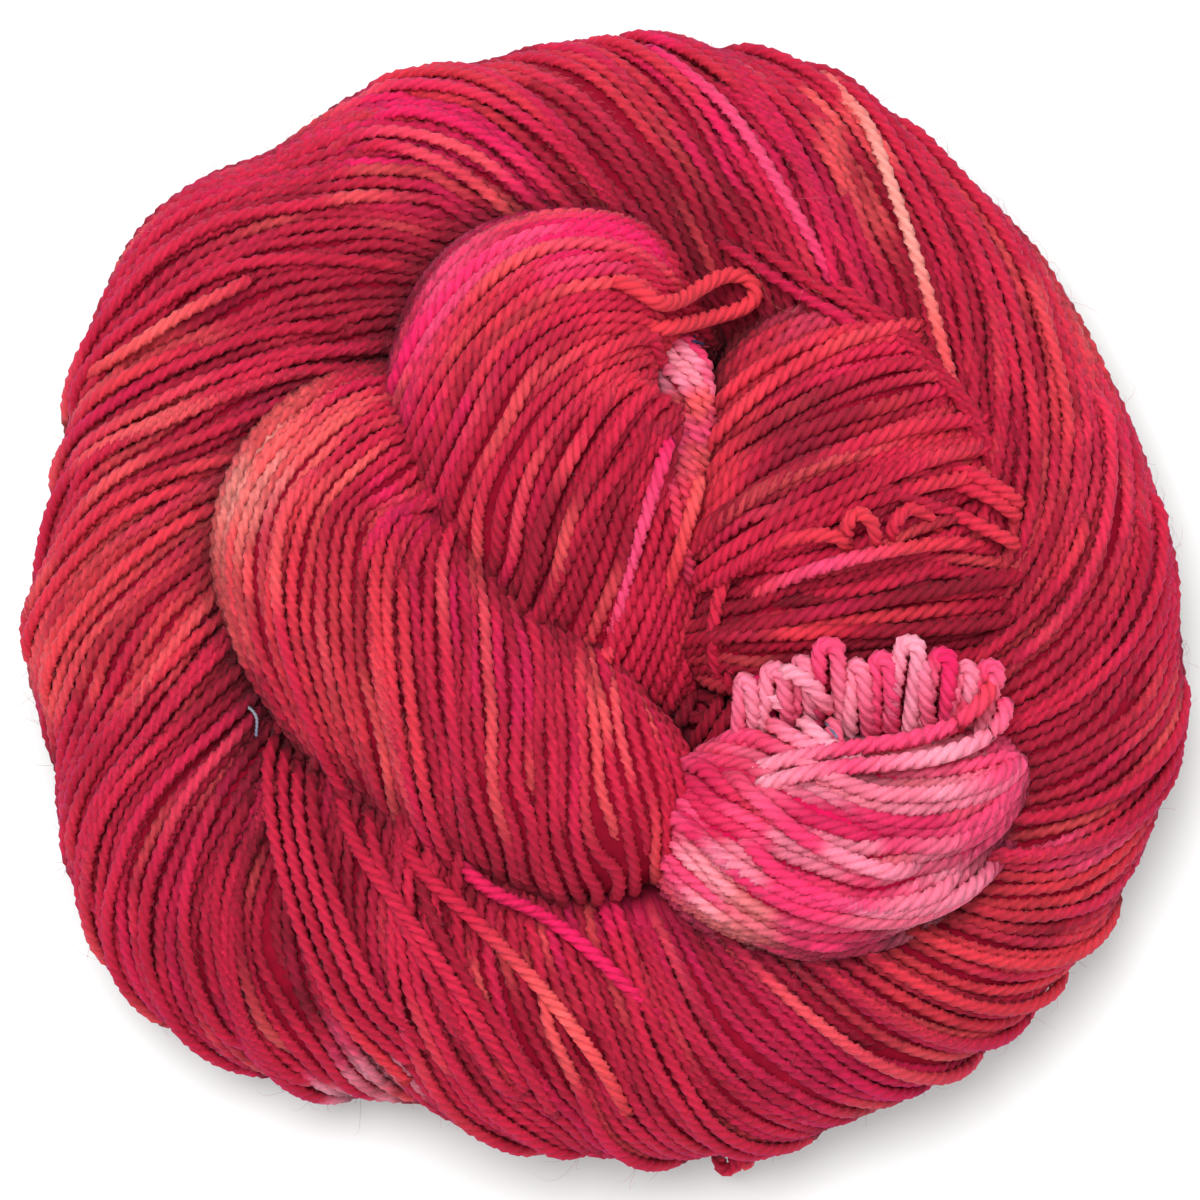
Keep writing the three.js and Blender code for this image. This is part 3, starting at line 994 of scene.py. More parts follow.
LAID_TURNS = (
    LaidTurn(((18.1, -10.4, 2.4), (19, -12.7, 4.8), (22.5, -15.3, 3.6), (26.6, -17.4, 1),
             (32, -19, -2)), (PINK, BLUSH), PLUMP),
    LaidTurn(((20.1, -10.3, 4), (23.4, -12.4, 5.6), (26.4, -15.2, 3.4), (29.4, -17.6, 0.2),
             (33, -19, -2)), (BLUSH, BLUSH), PLUMP),
    LaidTurn(((23.1, -7.6, 3), (26.4, -9.4, 5.4), (28.8, -12.8, 5.4), (29.6, -16.4, 1),
             (29.8, -19, -2)), (BLUSH, PINK), PLUMP),
    LaidTurn(((50.5, -8.4, 4), (48.4, -11.8, 6.4), (44.9, -14.6, 5.6), (39, -16.6, 2.2),
             (33, -17.4, 1), (25.5, -18.6, 0.2), (19, -20.6, -1.6)), (SCARLET, PINK, PINK, BLUSH),
             PLUMP),
    LaidTurn(((51.6, -11.4, 4), (51, -14.2, 4.6), (47.8, -16.8, 2.6), (42.2, -18.8, 1),
             (35.7, -19.6, 0.4), (28, -20.4, 0.2), (20, -22.4, -1.8)), (PINK, BLUSH, PINK, BLUSH),
             PLUMP),
    LaidTurn(((36.4, 17.8, -3), (39.6, 17.8, 1), (44, 16.8, 2.2), (49.4, 14.8, 2.2),
             (52.4, 12.8, 0.6), (53.2, 12, -2)), (MAROON, CRIMSON, SCARLET), OPEN),
    LaidTurn(((36.8, 19.9, -3), (40.6, 19.6, 0.8), (45, 18.6, 2), (49.8, 16.4, 2), (52.6, 14.6, 1),
             (53.4, 13.6, -2)), (WINE, CRIMSON, SCARLET), OPEN),
    LaidTurn(((33.1, 15.9, -3), (36.6, 15.4, 0.8), (40.6, 14.2, 1.8), (44.9, 12.6, 2.2),
             (49.4, 10.5, 2), (52.2, 9.1, 0.6), (53, 8.4, -2)), (MAROON, CRIMSON, SCARLET), OPEN),
    LaidTurn(((31.3, 8.4, -2), (31.1, 11, 1), (32.5, 12.6, 1.8), (34.3, 11.4, 1.6), (34.9, 9.1, 0),
             (35.2, 7.4, -2)), (CRIMSON, SCARLET, CRIMSON), OPEN),
    LaidTurn(((36.6, 8.8, -2), (37.3, 11.4, 0.8), (39, 13.2, 1.6), (41.4, 12.6, 1.4),
             (42.6, 10.9, 0.2), (43, 9.4, -2)), (CRIMSON, SCARLET), OPEN),
    LaidTurn(((15.2, 5.8, -2), (18, 7.4, 0.4), (22.5, 8.8, 1), (27, 9.8, 1.2), (30, 9.5, 0.8),
             (31.2, 8.2, -1.8)), (CRIMSON, SCARLET), OPEN),
    LaidTurn(((18.4, 1.4, -3), (21.4, 3.2, -0.6), (25, 4.7, 1), (31.9, 6.8, 1.2), (40.3, 8.4, 1.2),
             (47, 8.8, 0.8), (49.4, 7.4, -1.8)), (SCARLET, PINK, SCARLET, CRIMSON), OPEN),
    LaidTurn(((17.8, 8, -2.4), (16, 5.6, 1), (14.4, 0.6, 1.6), (14, -4.6, 1.6), (14.9, -9.2, 0.8),
             (15.8, -12, -2)), (SCARLET, CRIMSON, WINE), OPEN),
    LaidTurn(((12.4, -1, -3), (12.6, -5.4, 0.4), (11.6, -9.4, 0.6), (12.8, -13.6, -1.6)),
             (CRIMSON, WINE), OPEN),
    LaidTurn(((-68, 30, -2.4), (-62, 33.4, 0.6), (-55, 38, 1.2), (-48.4, 41.4, 0.8),
             (-45.6, 43, -0.8)), (SCARLET, CORAL, CRIMSON), FIRM),
    LaidTurn(((-69.4, 22.6, -2), (-66, 27.4, 0.4), (-59.6, 31.4, 0.9), (-52, 34.6, -2.4)),
             (CRIMSON, SCARLET, CRIMSON), FIRM),
    LaidTurn(((28.4, 69.4, -2), (31, 66.4, 0.3), (34, 62.7, 0.5), (38, 52, 0.5), (41.6, 41, 0.5),
             (44.6, 30.3, 0.4), (46.6, 24, -2)), (CORAL, PEACH, PEACH, CORAL, CRIMSON), FIRM),
    LaidTurn(((14.6, 47.6, -2.4), (18.8, 45, 0.2), (25.3, 40.8, 0.4), (31.8, 37, 0.4),
             (39, 31.6, 0.3), (44.8, 24.8, 0.3), (48.4, 17.6, -2)),
             (WINE, RASPBERRY, WINE, CRIMSON), FIRM),
    LaidTurn(((18.4, 48.4, -2.4), (22, 45.4, 0.3), (27.6, 41.8, 0.7), (33.4, 38.4, 0.7),
             (40.6, 33, 0.6), (46.4, 26, 0.6), (50.4, 17.4, -2)), (WINE, CRIMSON, WINE), FIRM),
    LaidTurn(((28, 43.2, -2.4), (31.4, 41, 0.4), (36.8, 37.2, 0.7), (42, 32.6, 0.6),
             (47, 26.4, 0.6), (51, 18.6, -2)), (CRIMSON, WINE, CRIMSON), FIRM),
    LaidTurn(((8.2, 22, -2), (7.2, 18.5, 1.2), (5, 11.4, 1.6), (2.6, 3.6, 1.6), (0.8, -3.6, 1.5),
             (0, -6.6, -2)), (FUCHSIA, PINK, PINK, SCARLET), OPEN),
    LaidTurn(((12.2, 17, -2), (11.2, 13, 1.2), (9, 5.6, 1.6), (6.6, -1.6, 1.5), (5.2, -5.8, -2)),
             (CORAL, SCARLET, CRIMSON), OPEN),
    # Turns that fill the crevice by the end knob; their wine and maroon are painted shade of the
    # crevice.
    LaidTurn(((16.8, -6.6, -2), (15.4, -10.4, 2.6), (13.4, -14.2, 3), (11, -18, -1)),
             (WINE, MAROON), OPEN),
    LaidTurn(((18.6, -9, -2), (16.8, -12, 2.6), (15, -15, 3), (13, -18.6, -1)), (MAROON, WINE),
             OPEN),
    LaidTurn(((11.2, -6, -2), (11.4, -9.6, 2), (10.4, -13, 2.4), (8.6, -16.4, -1)),
             (MAROON, MAROON), OPEN),
    LaidTurn(((9, -8.6, -1), (12, -10.8, 1), (15.6, -11.8, 1.4), (19.4, -12.4, -1)),
             (MAROON, MAROON), OPEN),
    LaidTurn(((8, -12, -1), (11, -13.6, 1), (14.6, -14.6, 1.4), (18.4, -15.4, -1)),
             (MAROON, MAROON), OPEN),
    LaidTurn(((5.8, 72.8, -2), (10.4, 69.6, 0), (16.6, 63.8, 0.1), (25.4, 50, 0.1), (31, 39, -2)),
             (FUCHSIA, PINK, PINK, FUCHSIA), FIRM),
    LaidTurn(((-42, -15, -2.4), (-43.4, -19, 0.8), (-43.2, -26, 1.4), (-41.2, -35, 1.5),
             (-37.9, -44.6, 1.4), (-33.6, -52.8, 1), (-25.6, -60.8, -1)),
             (WINE, CRIMSON, CRIMSON, SCARLET), FIRM),
    LaidTurn(((-40.6, -17, -2.4), (-41.5, -19.6, 0.9), (-41.3, -26.4, 1.6), (-39.4, -34.8, 1.7),
             (-36.2, -43.9, 1.5), (-32.2, -51.8, 1), (-25, -58.6, -1)),
             (WINE, CRIMSON, WINE, CRIMSON), FIRM),
    LaidTurn(((-39.2, -18.4, -2.4), (-39.6, -20, 0.8), (-39.4, -26.6, 1.5), (-37.6, -34.4, 1.6),
             (-34.5, -43.2, 1.3), (-30.6, -50.8, 0.9), (-24, -57.6, -1)),
             (WINE, CRIMSON, CRIMSON, WINE), FIRM),
    LaidTurn(((-36.2, -18, -2.4), (-37.7, -21, 0.5), (-37.5, -27, 1), (-35.8, -34.2, 1.1),
             (-32.8, -42.6, 0.9), (-29, -49.8, 0.6), (-22.8, -56.6, -1)),
             (MAROON, WINE, CRIMSON, WINE), FIRM),
    LaidTurn(((-34.6, -22, -2.4), (-32.6, -29, 0.5), (-28, -36, 0.9), (-22.4, -43.6, 0.9),
             (-16, -53, 0.6), (-10, -62, -2.4)), (WINE, CRIMSON, CRIMSON), OPEN),
    LaidTurn(((-27, -27.4, -2.4), (-24, -33, 0.5), (-17, -39.6, 0.9), (-8.4, -48.4, 0.8),
             (-1, -58, 0.4), (3, -65, -2.4)), (WINE, CRIMSON, CORAL, SCARLET), OPEN),
    LaidTurn(((-20, -31.4, -2.4), (-15, -35.8, 0.6), (-7.6, -39.4, 0.9), (0, -45.6, 0.7),
             (8, -54, -2.4)), (RASPBERRY, FUCHSIA, RASPBERRY), OPEN),
    LaidTurn(((-24.6, -31.6, -2), (-22.8, -38, 0.4), (-18.8, -46, 0.5), (-12, -56, 0.5),
             (-6.6, -65, -2)), (MAROON, WINE, CRIMSON), FIRM),
    LaidTurn(((-30.6, -25.4, -2), (-29.6, -31, 0.4), (-26.4, -39, 0.6), (-20.8, -50, 0.5),
             (-15, -60, -2)), (WINE, CRIMSON, WINE), FIRM),
)
TIE_SPECKS = (
    LaidTurn(((11.2, 34.8, 0.2), (12.6, 34.4, 0.5)), (NAVY,), THREAD),
    LaidTurn(((11.6, 35.4, 0.2), (13, 34.9, 0.6)), (NAVY,), THREAD),
    LaidTurn(((-7.6, -52.9, 0.3), (-6.8, -53.8, 0.6)), (NAVY,), THREAD),
    LaidTurn(((-36.6, 52.9, 0.3), (-35.6, 52.6, 0.6)), (NAVY,), THREAD),
    LaidTurn(((28.4, -14.4, 4.6), (29.8, -16.2, 4.6)), (SLATE,), THREAD),
    LaidTurn(((-46.4, -12, 0.4), (-45, -13.6, 1), (-45, -16.2, 0.8)), (ASH, SLATE), THREAD),
    LaidTurn(((-9.4, -69, 0.4), (-8.2, -69.7, 0.6)), (SLATE,), THREAD),
)
STRAY_FIBRES = (
    LaidTurn(((17.4, 46, 1), (19.6, 43.6, 3), (21.4, 39.8, 3.4), (24.4, 38.6, 3.2),
             (25.6, 41.6, 3), (28, 41, 2.2), (25.6, 44, 2.6)), (TAN,), HAIR),
    LaidTurn(((25.6, -45.6, 1), (23.6, -48, 1.4), (22.6, -52, 1.2), (24.4, -56.6, 0.8),
             (23.8, -59, 0.6)), (CORAL,), HAIR),
    LaidTurn(((-5, 18, 0.6), (-2.4, 13.6, 1.2), (0.6, 11.6, 1.2), (2, 14.2, 1), (0, 16.6, 1.2),
             (-3, 15.6, 1)), (CORAL,), HAIR),
    LaidTurn(((-7.4, 14.6, 0.6), (-6, 17.4, 1.4), (-3.6, 17.6, 1.2)), (BLUSH,), HAIR),
    LaidTurn(((36.6, 23.6, 0.8), (33, 19, 1.6), (31.4, 20.6, 1.2)), (CORAL,), HAIR),
)


@dataclass(frozen=True)
class Halo:
    """Fine fibres that stand off the yarn."""

    count: int = 7000
    seed: int = 31
    yarn: Yarn = HAIR

    LENGTHS = (3.0, 0.65)  # shape and scale of the lengths, in millimetres
    LEANS = (0.15, 0.8)  # from lying along the turn to standing off it
    SPREAD = 0.9
    CURL = 0.5
    PALEST = 0.5
    TAPER = 0.7
    ROOT = 0.8  # where a fibre starts, in half thicknesses of the turn
    GROUND = 0.1 * MM

    def strands(self, turns: Sequence[Strand]) -> list[Strand]:
        """Draw fibres out of random places on the turns.

        Args:
            turns: The laid lengths of yarn.

        Returns:
            The fibres.
        """
        rng = np.random.default_rng(self.seed)
        sizes = np.array([len(turn.points) for turn in turns], float)
        chosen = rng.choice(len(turns), self.count, p=sizes / sizes.sum())
        return [self._fibre(turns[number], rng) for number in chosen]

    def _fibre(self, turn: Strand, rng: np.random.Generator) -> Strand:
        """Draw out one fibre, which bends along the turn."""
        ring = rng.integers(1, len(turn.points) - 1)
        along = unit(turn.points[ring + 1] - turn.points[ring - 1]) * rng.choice((-1.0, 1.0))
        outward = unit(turn.outward[ring])
        across = np.cross(along, outward)
        angle = rng.normal(0.0, self.SPREAD)
        away = math.cos(angle) * outward + math.sin(angle) * across
        length = rng.gamma(*self.LENGTHS) * MM
        count = max(2, int(length / self.yarn.step + 0.7))
        share = np.linspace(0.0, 1.0, count + 1)[:, None]
        lean, curl = rng.uniform(*self.LEANS), rng.normal(0.0, self.CURL)
        path = along * share * (1.0 - 0.3 * lean) + away * lean * np.sin(2.2 * share)
        path = path + across * curl * share * share
        root = turn.points[ring] + away * turn.yarn.radius * self.ROOT
        points = root + path * length
        points[:, 2] = np.maximum(points[:, 2], self.GROUND)
        blush = rng.uniform(0.0, self.PALEST)
        colour = turn.colours[ring] * (1.0 - blush) + BLUSH.linear * blush
        colours = np.tile(colour, (count + 1, 1))
        girth = 1.0 - self.TAPER * share[:, 0]
        return Strand(self.yarn, points, np.tile(away, (count + 1, 1)), colours, girth)


# Colours of each lobe

OUTER_DYES_AND_SHADE = DyeBath(CRIMSON, (
    Patch(SCARLET, -10, 68, 28, 5, -4, 0.6),
    Patch(FUCHSIA, -21, 60, 14, 5, -22, 0.9),
    Patch(WINE, 4, 55, 15, 6, -35, 0.75),
    Patch(MAROON, 13, 51, 10, 3, -45, 0.6),
    Patch(FUCHSIA, 12, 63, 13, 2.2, -56, 0.8),
    Patch(WINE, 20, 63, 11, 3, -60, 0.6),
    Patch(RASPBERRY, 25, 55, 16, 3.4, -60, 0.8),
    Patch(CORAL, 32, 56, 14, 1.6, -68, 0.8),
    Patch(WINE, 47, 34, 18, 3.6, -78, 0.6),
    Patch(FUCHSIA, 66, 13, 16, 3, -84, 0.6),
    Patch(CORAL, 58, 34, 12, 2, -75, 0.5),
    Patch(MAROON, 56, 4, 12, 3, 84, 0.4),
    Patch(WINE, 62, -18, 10, 7, 45, 0.6),
    Patch(SCARLET, 62, 20, 20, 7, -82, 0.55),
    Patch(SCARLET, 52, -40, 22, 10, 24, 0.95),
    Patch(PINK, 62.5, -30.5, 10, 1.6, 20, 0.85),
    Patch(RASPBERRY, 24, -53, 24, 8, -32, 0.85),
    Patch(FUCHSIA, 4, -42, 10, 3, -36, 0.7),
    Patch(FUCHSIA, 20, -62, 12, 3, -30, 0.4),
    Patch(WINE, -8, -54, 9, 9, -50, 0.4),
    Patch(CORAL, -7, -52, 14, 1.8, -54, 0.7),
    # Painted shade: maroon, wine and the shadow colour along the crevices at the foot, where the
    # outer turn's raised end meets its start.
    Patch(MAROON, -33, -30, 12, 6, 80, 0.5),
    Patch(DUSK, -45.2, -23, 15, 3.4, -86, 1),
    Patch(DUSK, -41.6, -42, 12, 2.8, -70, 0.9),
    Patch(MAROON, -48, -18, 14, 5, 72, 0.6),
    Patch(WINE, -46, -40, 16, 9, 60, 0.65),
    Patch(PINK, -32, -58, 7, 4, 80, 0.9),
    Patch(BLUSH, -31, -62, 5, 5, 0, 0.9),
    Patch(RASPBERRY, -54, -28, 14, 6, 55, 0.5),
    Patch(CORAL, -66, -2, 13, 6, 50, 0.85),
    Patch(SCARLET, -60, 6, 19, 10, 50, 0.8),
    # Painted shade: maroon on the outer turn's inner side beside the long lobe.
    Patch(MAROON, -46, -9, 12, 4, 60, 0.6),
    Patch(CORAL, -61, 27, 11, 3, 32, 0.7),
    # Painted shadow: wine in the crevice between the outer turn, the long lobe and the fan lobe.
    Patch(WINE, -32, 42, 16, 6, 15, 0.6),
), streak=0.26)
LONG_DYES_AND_PAINTED_LIGHT = DyeBath(CRIMSON, (
    # Coral dye at the lobe's upper left end, made stronger there; the peach on it is a painted
    # highlight where the light falls.
    Patch(CORAL, -42, 18, 14, 8, 58, 1),
    Patch(PEACH, -46, 14, 8, 3.6, 62, 0.9),
    Patch(CORAL, -48, 2, 12, 4, 82, 0.8),
    Patch(SCARLET, -34, -2, 18, 9, -75, 0.85),
    Patch(FUCHSIA, -26, 7, 12, 2.2, -85, 0.6),
    Patch(CORAL, -24, -14, 13, 1.8, -80, 0.6),
    Patch(FUCHSIA, -13, -6, 9, 2.4, -65, 0.7),
    Patch(CORAL, 0.5, -16, 9, 1.6, -75, 0.8),
    # Painted shadow: wine along the long lobe's lower edge and beside the fan lobe's edge.
    Patch(WINE, -10, -31, 14, 5, 0, 0.5),
    Patch(WINE, -30, 10, 9, 3, -80, 0.4),
), streak=0.24)
FAN_DYES_AND_SHADE = DyeBath(CRIMSON, (
    Patch(FUCHSIA, -25, 34, 15, 7, 65, 1),
    Patch(FUCHSIA, -10, 49, 15, 6.5, 3, 1),
    Patch(PINK, -19, 45, 11, 2.6, 42, 0.8),
    Patch(PINK, -4, 44, 9, 1.4, 12, 0.6),
    Patch(SCARLET, -15, 37, 12, 2.4, 50, 0.8),
    # Painted shade: wine and maroon on the fan lobe's low end, where it sinks between the other
    # lobes.
    Patch(WINE, -8, 8, 12, 8, 60, 0.65),
    Patch(MAROON, -5, 4, 13, 7, 62, 0.65),
    Patch(SCARLET, 1, 31, 9, 5, 40, 0.45),
))
SIDE_BATH = DyeBath(CRIMSON, (
    Patch(SCARLET, 16, 22, 12, 4, 70, 0.7),
    Patch(SCARLET, 26, 35, 9, 4, 30, 0.6),
    Patch(PINK, 26.5, 37.5, 5, 2, 20, 0.5),
    Patch(MAROON, 30, 25, 13, 3.6, 20, 0.95),
    Patch(MAROON, 22, 15, 10, 3.4, 32, 0.95),
    Patch(WINE, 36, 15, 11, 4, -5, 0.8),
    Patch(SCARLET, 42, 22, 9, 2.6, -25, 0.5),
    Patch(MAROON, 38, 12, 9, 3, 0, 0.8),
), streak=0.2, stray=1.2)
LEVEL_BATH = DyeBath(WINE, (
    Patch(CRIMSON, 30, 6, 18, 1.6, 8, 0.8),
    Patch(MAROON, 33, 2.4, 18, 1.6, 8, 0.9),
    Patch(SCARLET, 32, -1.2, 18, 1.4, 8, 0.8),
    Patch(MAROON, 34, -4.4, 18, 1.6, 8, 0.9),
    Patch(MAROON, 16, -4, 5, 9, 0, 0.7),
), streak=0.2, stray=0.6)
CREASE_BATH = DyeBath(PINK, (
    Patch(BLUSH, 10.4, 31, 4, 3, 0, 0.8),
    Patch(FUCHSIA, 13, 32, 1.5, 3, 0, 0.7),
    Patch(CORAL, 11, 26, 4, 2.4, 0, 0.8),
    Patch(PINK, 13, 24, 3, 2, 0, 0.7),
    Patch(CORAL, 12, 19, 4, 3, 0, 0.9),
    Patch(SCARLET, 10.6, 12, 6, 5, 80, 0.9),
    Patch(WINE, 9, 0, 7, 4, 80, 0.8),
), streak=0.1, stray=0.8)
KNOB_BATH = DyeBath(PINK, (
    Patch(BLUSH, 32, -18, 15, 6, 0, 0.9),
    Patch(RASPBERRY, 15, -25, 5, 8, -40, 0.9),
    Patch(FUCHSIA, 34, -27, 9, 3, 0, 0.7),
    Patch(PEACH, 16, -37, 7, 4, -45, 0.75),
    Patch(FUCHSIA, 24, -34, 7, 2.4, -20, 0.6),
    Patch(BLUSH, 42, -36, 9, 5, 20, 0.55),
    Patch(FUCHSIA, 26, -44, 8, 1.8, 0, 0.6),
    Patch(BLUSH, 14, -33, 5, 5, -45, 0.6),
    Patch(BLUSH, 30, -31, 10, 1.2, -8, 0.7),
), streak=0.16, stray=1.8)


# Finishes

def set_sockets(node: bpy.types.Node,
                values: dict[str, float | Sequence[float]]) -> bpy.types.Node:
    """Set plain values on the named input sockets of a node."""
    for name, value in values.items():
        node.inputs[name].default_value = value
    return node


def start_material(name: str, values: dict[str, float | Sequence[float]]) -> bpy.types.Material:
    """Start a material whose shader has the given plain values."""
    material = bpy.data.materials.new(name)
    material.use_nodes = True
    set_sockets(material.node_tree.nodes["Principled BSDF"], values)
    return material


class Fluff:
    """Shader node group that gives spun fibre its streaks, shaded grooves and small relief."""

    STREAK = ((2.6, 2.6, 0.7), 3.0)  # scale across and along the yarn, and detail
    FLECK = ((7.0, 7.0, 2.2), 2.0)
    STREAK_TONES = {"From Min": 0.3, "From Max": 0.7, "To Min": 0.86, "To Max": 1.1}
    GROOVE_TONES = {"From Min": 0.0, "From Max": 0.75, "To Max": 1.0}
    FLECK_RELIEF = 0.35

    _group: bpy.types.NodeTree | None = None

    @classmethod
    def group(cls) -> bpy.types.NodeTree:
        """Give the node group, made on first use."""
        if cls._group is None:
            cls._group = cls._build()
        return cls._group

    @classmethod
    def _build(cls) -> bpy.types.NodeTree:
        """Build the node group."""
        tree = bpy.data.node_groups.new("spun fibre", "ShaderNodeTree")
        for name, kind in (("Dye", "NodeSocketColor"), ("Lie", "NodeSocketVector"),
                           ("Crest", "NodeSocketFloat"), ("Groove Shade", "NodeSocketFloat")):
            tree.interface.new_socket(name=name, in_out="INPUT", socket_type=kind)
        for name, kind in (("Color", "NodeSocketColor"), ("Height", "NodeSocketFloat")):
            tree.interface.new_socket(name=name, in_out="OUTPUT", socket_type=kind)
        nodes, link = tree.nodes, tree.links.new
        given = nodes.new("NodeGroupInput")
        result = nodes.new("NodeGroupOutput")
        streak = cls._noise(tree, given, *cls.STREAK)
        fleck = cls._noise(tree, given, *cls.FLECK)
        bright = set_sockets(nodes.new("ShaderNodeMapRange"), cls.STREAK_TONES)
        link(streak.outputs["Fac"], bright.inputs["Value"])
        groove = set_sockets(nodes.new("ShaderNodeMapRange"), cls.GROOVE_TONES)
        groove.interpolation_type = "SMOOTHSTEP"
        link(given.outputs["Crest"], groove.inputs["Value"])
        link(given.outputs["Groove Shade"], groove.inputs["To Min"])
        shade = nodes.new("ShaderNodeMath")
        shade.operation = "MULTIPLY"
        link(bright.outputs["Result"], shade.inputs[0])
        link(groove.outputs["Result"], shade.inputs[1])
        tinted = nodes.new("ShaderNodeVectorMath")
        tinted.operation = "SCALE"
        link(given.outputs["Dye"], tinted.inputs[0])
        link(shade.outputs["Value"], tinted.inputs["Scale"])
        link(tinted.outputs["Vector"], result.inputs["Color"])
        relief = nodes.new("ShaderNodeMath")
        relief.operation = "MULTIPLY_ADD"
        relief.inputs[1].default_value = cls.FLECK_RELIEF
        link(fleck.outputs["Fac"], relief.inputs[0])
        link(groove.outputs["Result"], relief.inputs[2])
        link(relief.outputs["Value"], result.inputs["Height"])
        return tree

    @staticmethod
    def _noise(tree: bpy.types.NodeTree, given: bpy.types.Node,
               scale: tuple[float, float, float], detail: float) -> bpy.types.Node:
        """Noise that is drawn out along the fibre."""
        spread = set_sockets(tree.nodes.new("ShaderNodeMapping"), {"Scale": scale})
        noise = tree.nodes.new("ShaderNodeTexNoise")
        set_sockets(noise, {"Scale": 1.0, "Detail": detail})
        tree.links.new(given.outputs["Lie"], spread.inputs["Vector"])
        tree.links.new(spread.outputs["Vector"], noise.inputs["Vector"])
        return noise


@dataclass(frozen=True)
class YarnFinish:
    """Matt, slightly fuzzy plied yarn whose colour comes from its dye attribute, which carries the
    dyes with painted shade and highlight.
    """

    name: str
    roughness: float = 0.82
    gloss: float = 0.25
    sheen: float = 0.035
    sheen_roughness: float = 0.45
    sheen_tint: tuple[float, ...] = (1.0, 0.62, 0.66, 1.0)
    groove_shade: float = 0.72
    relief: float = 0.16 * MM
    relief_strength: float = 0.8
    translucence: float = 0.35
    light_spread: tuple[float, ...] = (1.0, 0.3, 0.35)
    light_depth: float = 1.0 * MM

    def material(self) -> bpy.types.Material:
        """Build the material."""
        material = start_material(self.name, {
            "Roughness": self.roughness,
            "Specular IOR Level": self.gloss,
            "Sheen Weight": self.sheen,
            "Sheen Roughness": self.sheen_roughness,
            "Sheen Tint": self.sheen_tint,
            "Subsurface Weight": self.translucence,
            "Subsurface Radius": self.light_spread,
            "Subsurface Scale": self.light_depth,
        })
        nodes, link = material.node_tree.nodes, material.node_tree.links.new
        shader = nodes["Principled BSDF"]
        fluff = nodes.new("ShaderNodeGroup")
        fluff.node_tree = Fluff.group()
        fluff.inputs["Groove Shade"].default_value = self.groove_shade
        for name, output, socket in (("dye", "Color", "Dye"), ("lie", "Vector", "Lie"),
                                     ("crest", "Fac", "Crest")):
            layer = nodes.new("ShaderNodeAttribute")
            layer.attribute_name = name
            link(layer.outputs[output], fluff.inputs[socket])
        link(fluff.outputs["Color"], shader.inputs["Base Color"])
        bump = nodes.new("ShaderNodeBump")
        set_sockets(bump, {"Strength": self.relief_strength, "Distance": self.relief})
        link(fluff.outputs["Height"], bump.inputs["Height"])
        link(bump.outputs["Normal"], shader.inputs["Normal"])
        return material


@dataclass(frozen=True)
class CoreFinish:
    """The yarn's red inside the rope, seen only between the turns, made deeper as painted shade of
    the gaps.
    """

    name: str = "yarn_inside"
    deep: Dye = MAROON
    shallow: Dye = WINE
    roughness: float = 0.9
    gloss: float = 0.1
    mottle: float = 320.0
    # Painted shade: the inside's dyes are dimmed to these shares of their colour.
    shade_tones: tuple[float, float] = (0.6, 0.9)

    def material(self) -> bpy.types.Material:
        """Build the material."""
        material = start_material(
            self.name, {"Roughness": self.roughness, "Specular IOR Level": self.gloss}
        )
        nodes, link = material.node_tree.nodes, material.node_tree.links.new
        where = nodes.new("ShaderNodeTexCoord")
        noise = set_sockets(nodes.new("ShaderNodeTexNoise"), {"Scale": self.mottle})
        ramp = nodes.new("ShaderNodeValToRGB")
        dyes = (self.deep, self.shallow)
        for stop, dye, tone in zip(ramp.color_ramp.elements, dyes, self.shade_tones):
            stop.color = (*(tone * dye.linear), 1.0)
        link(where.outputs["Object"], noise.inputs["Vector"])
        link(noise.outputs["Fac"], ramp.inputs["Fac"])
        link(ramp.outputs["Color"], nodes["Principled BSDF"].inputs["Base Color"])
        return material


# Pieces

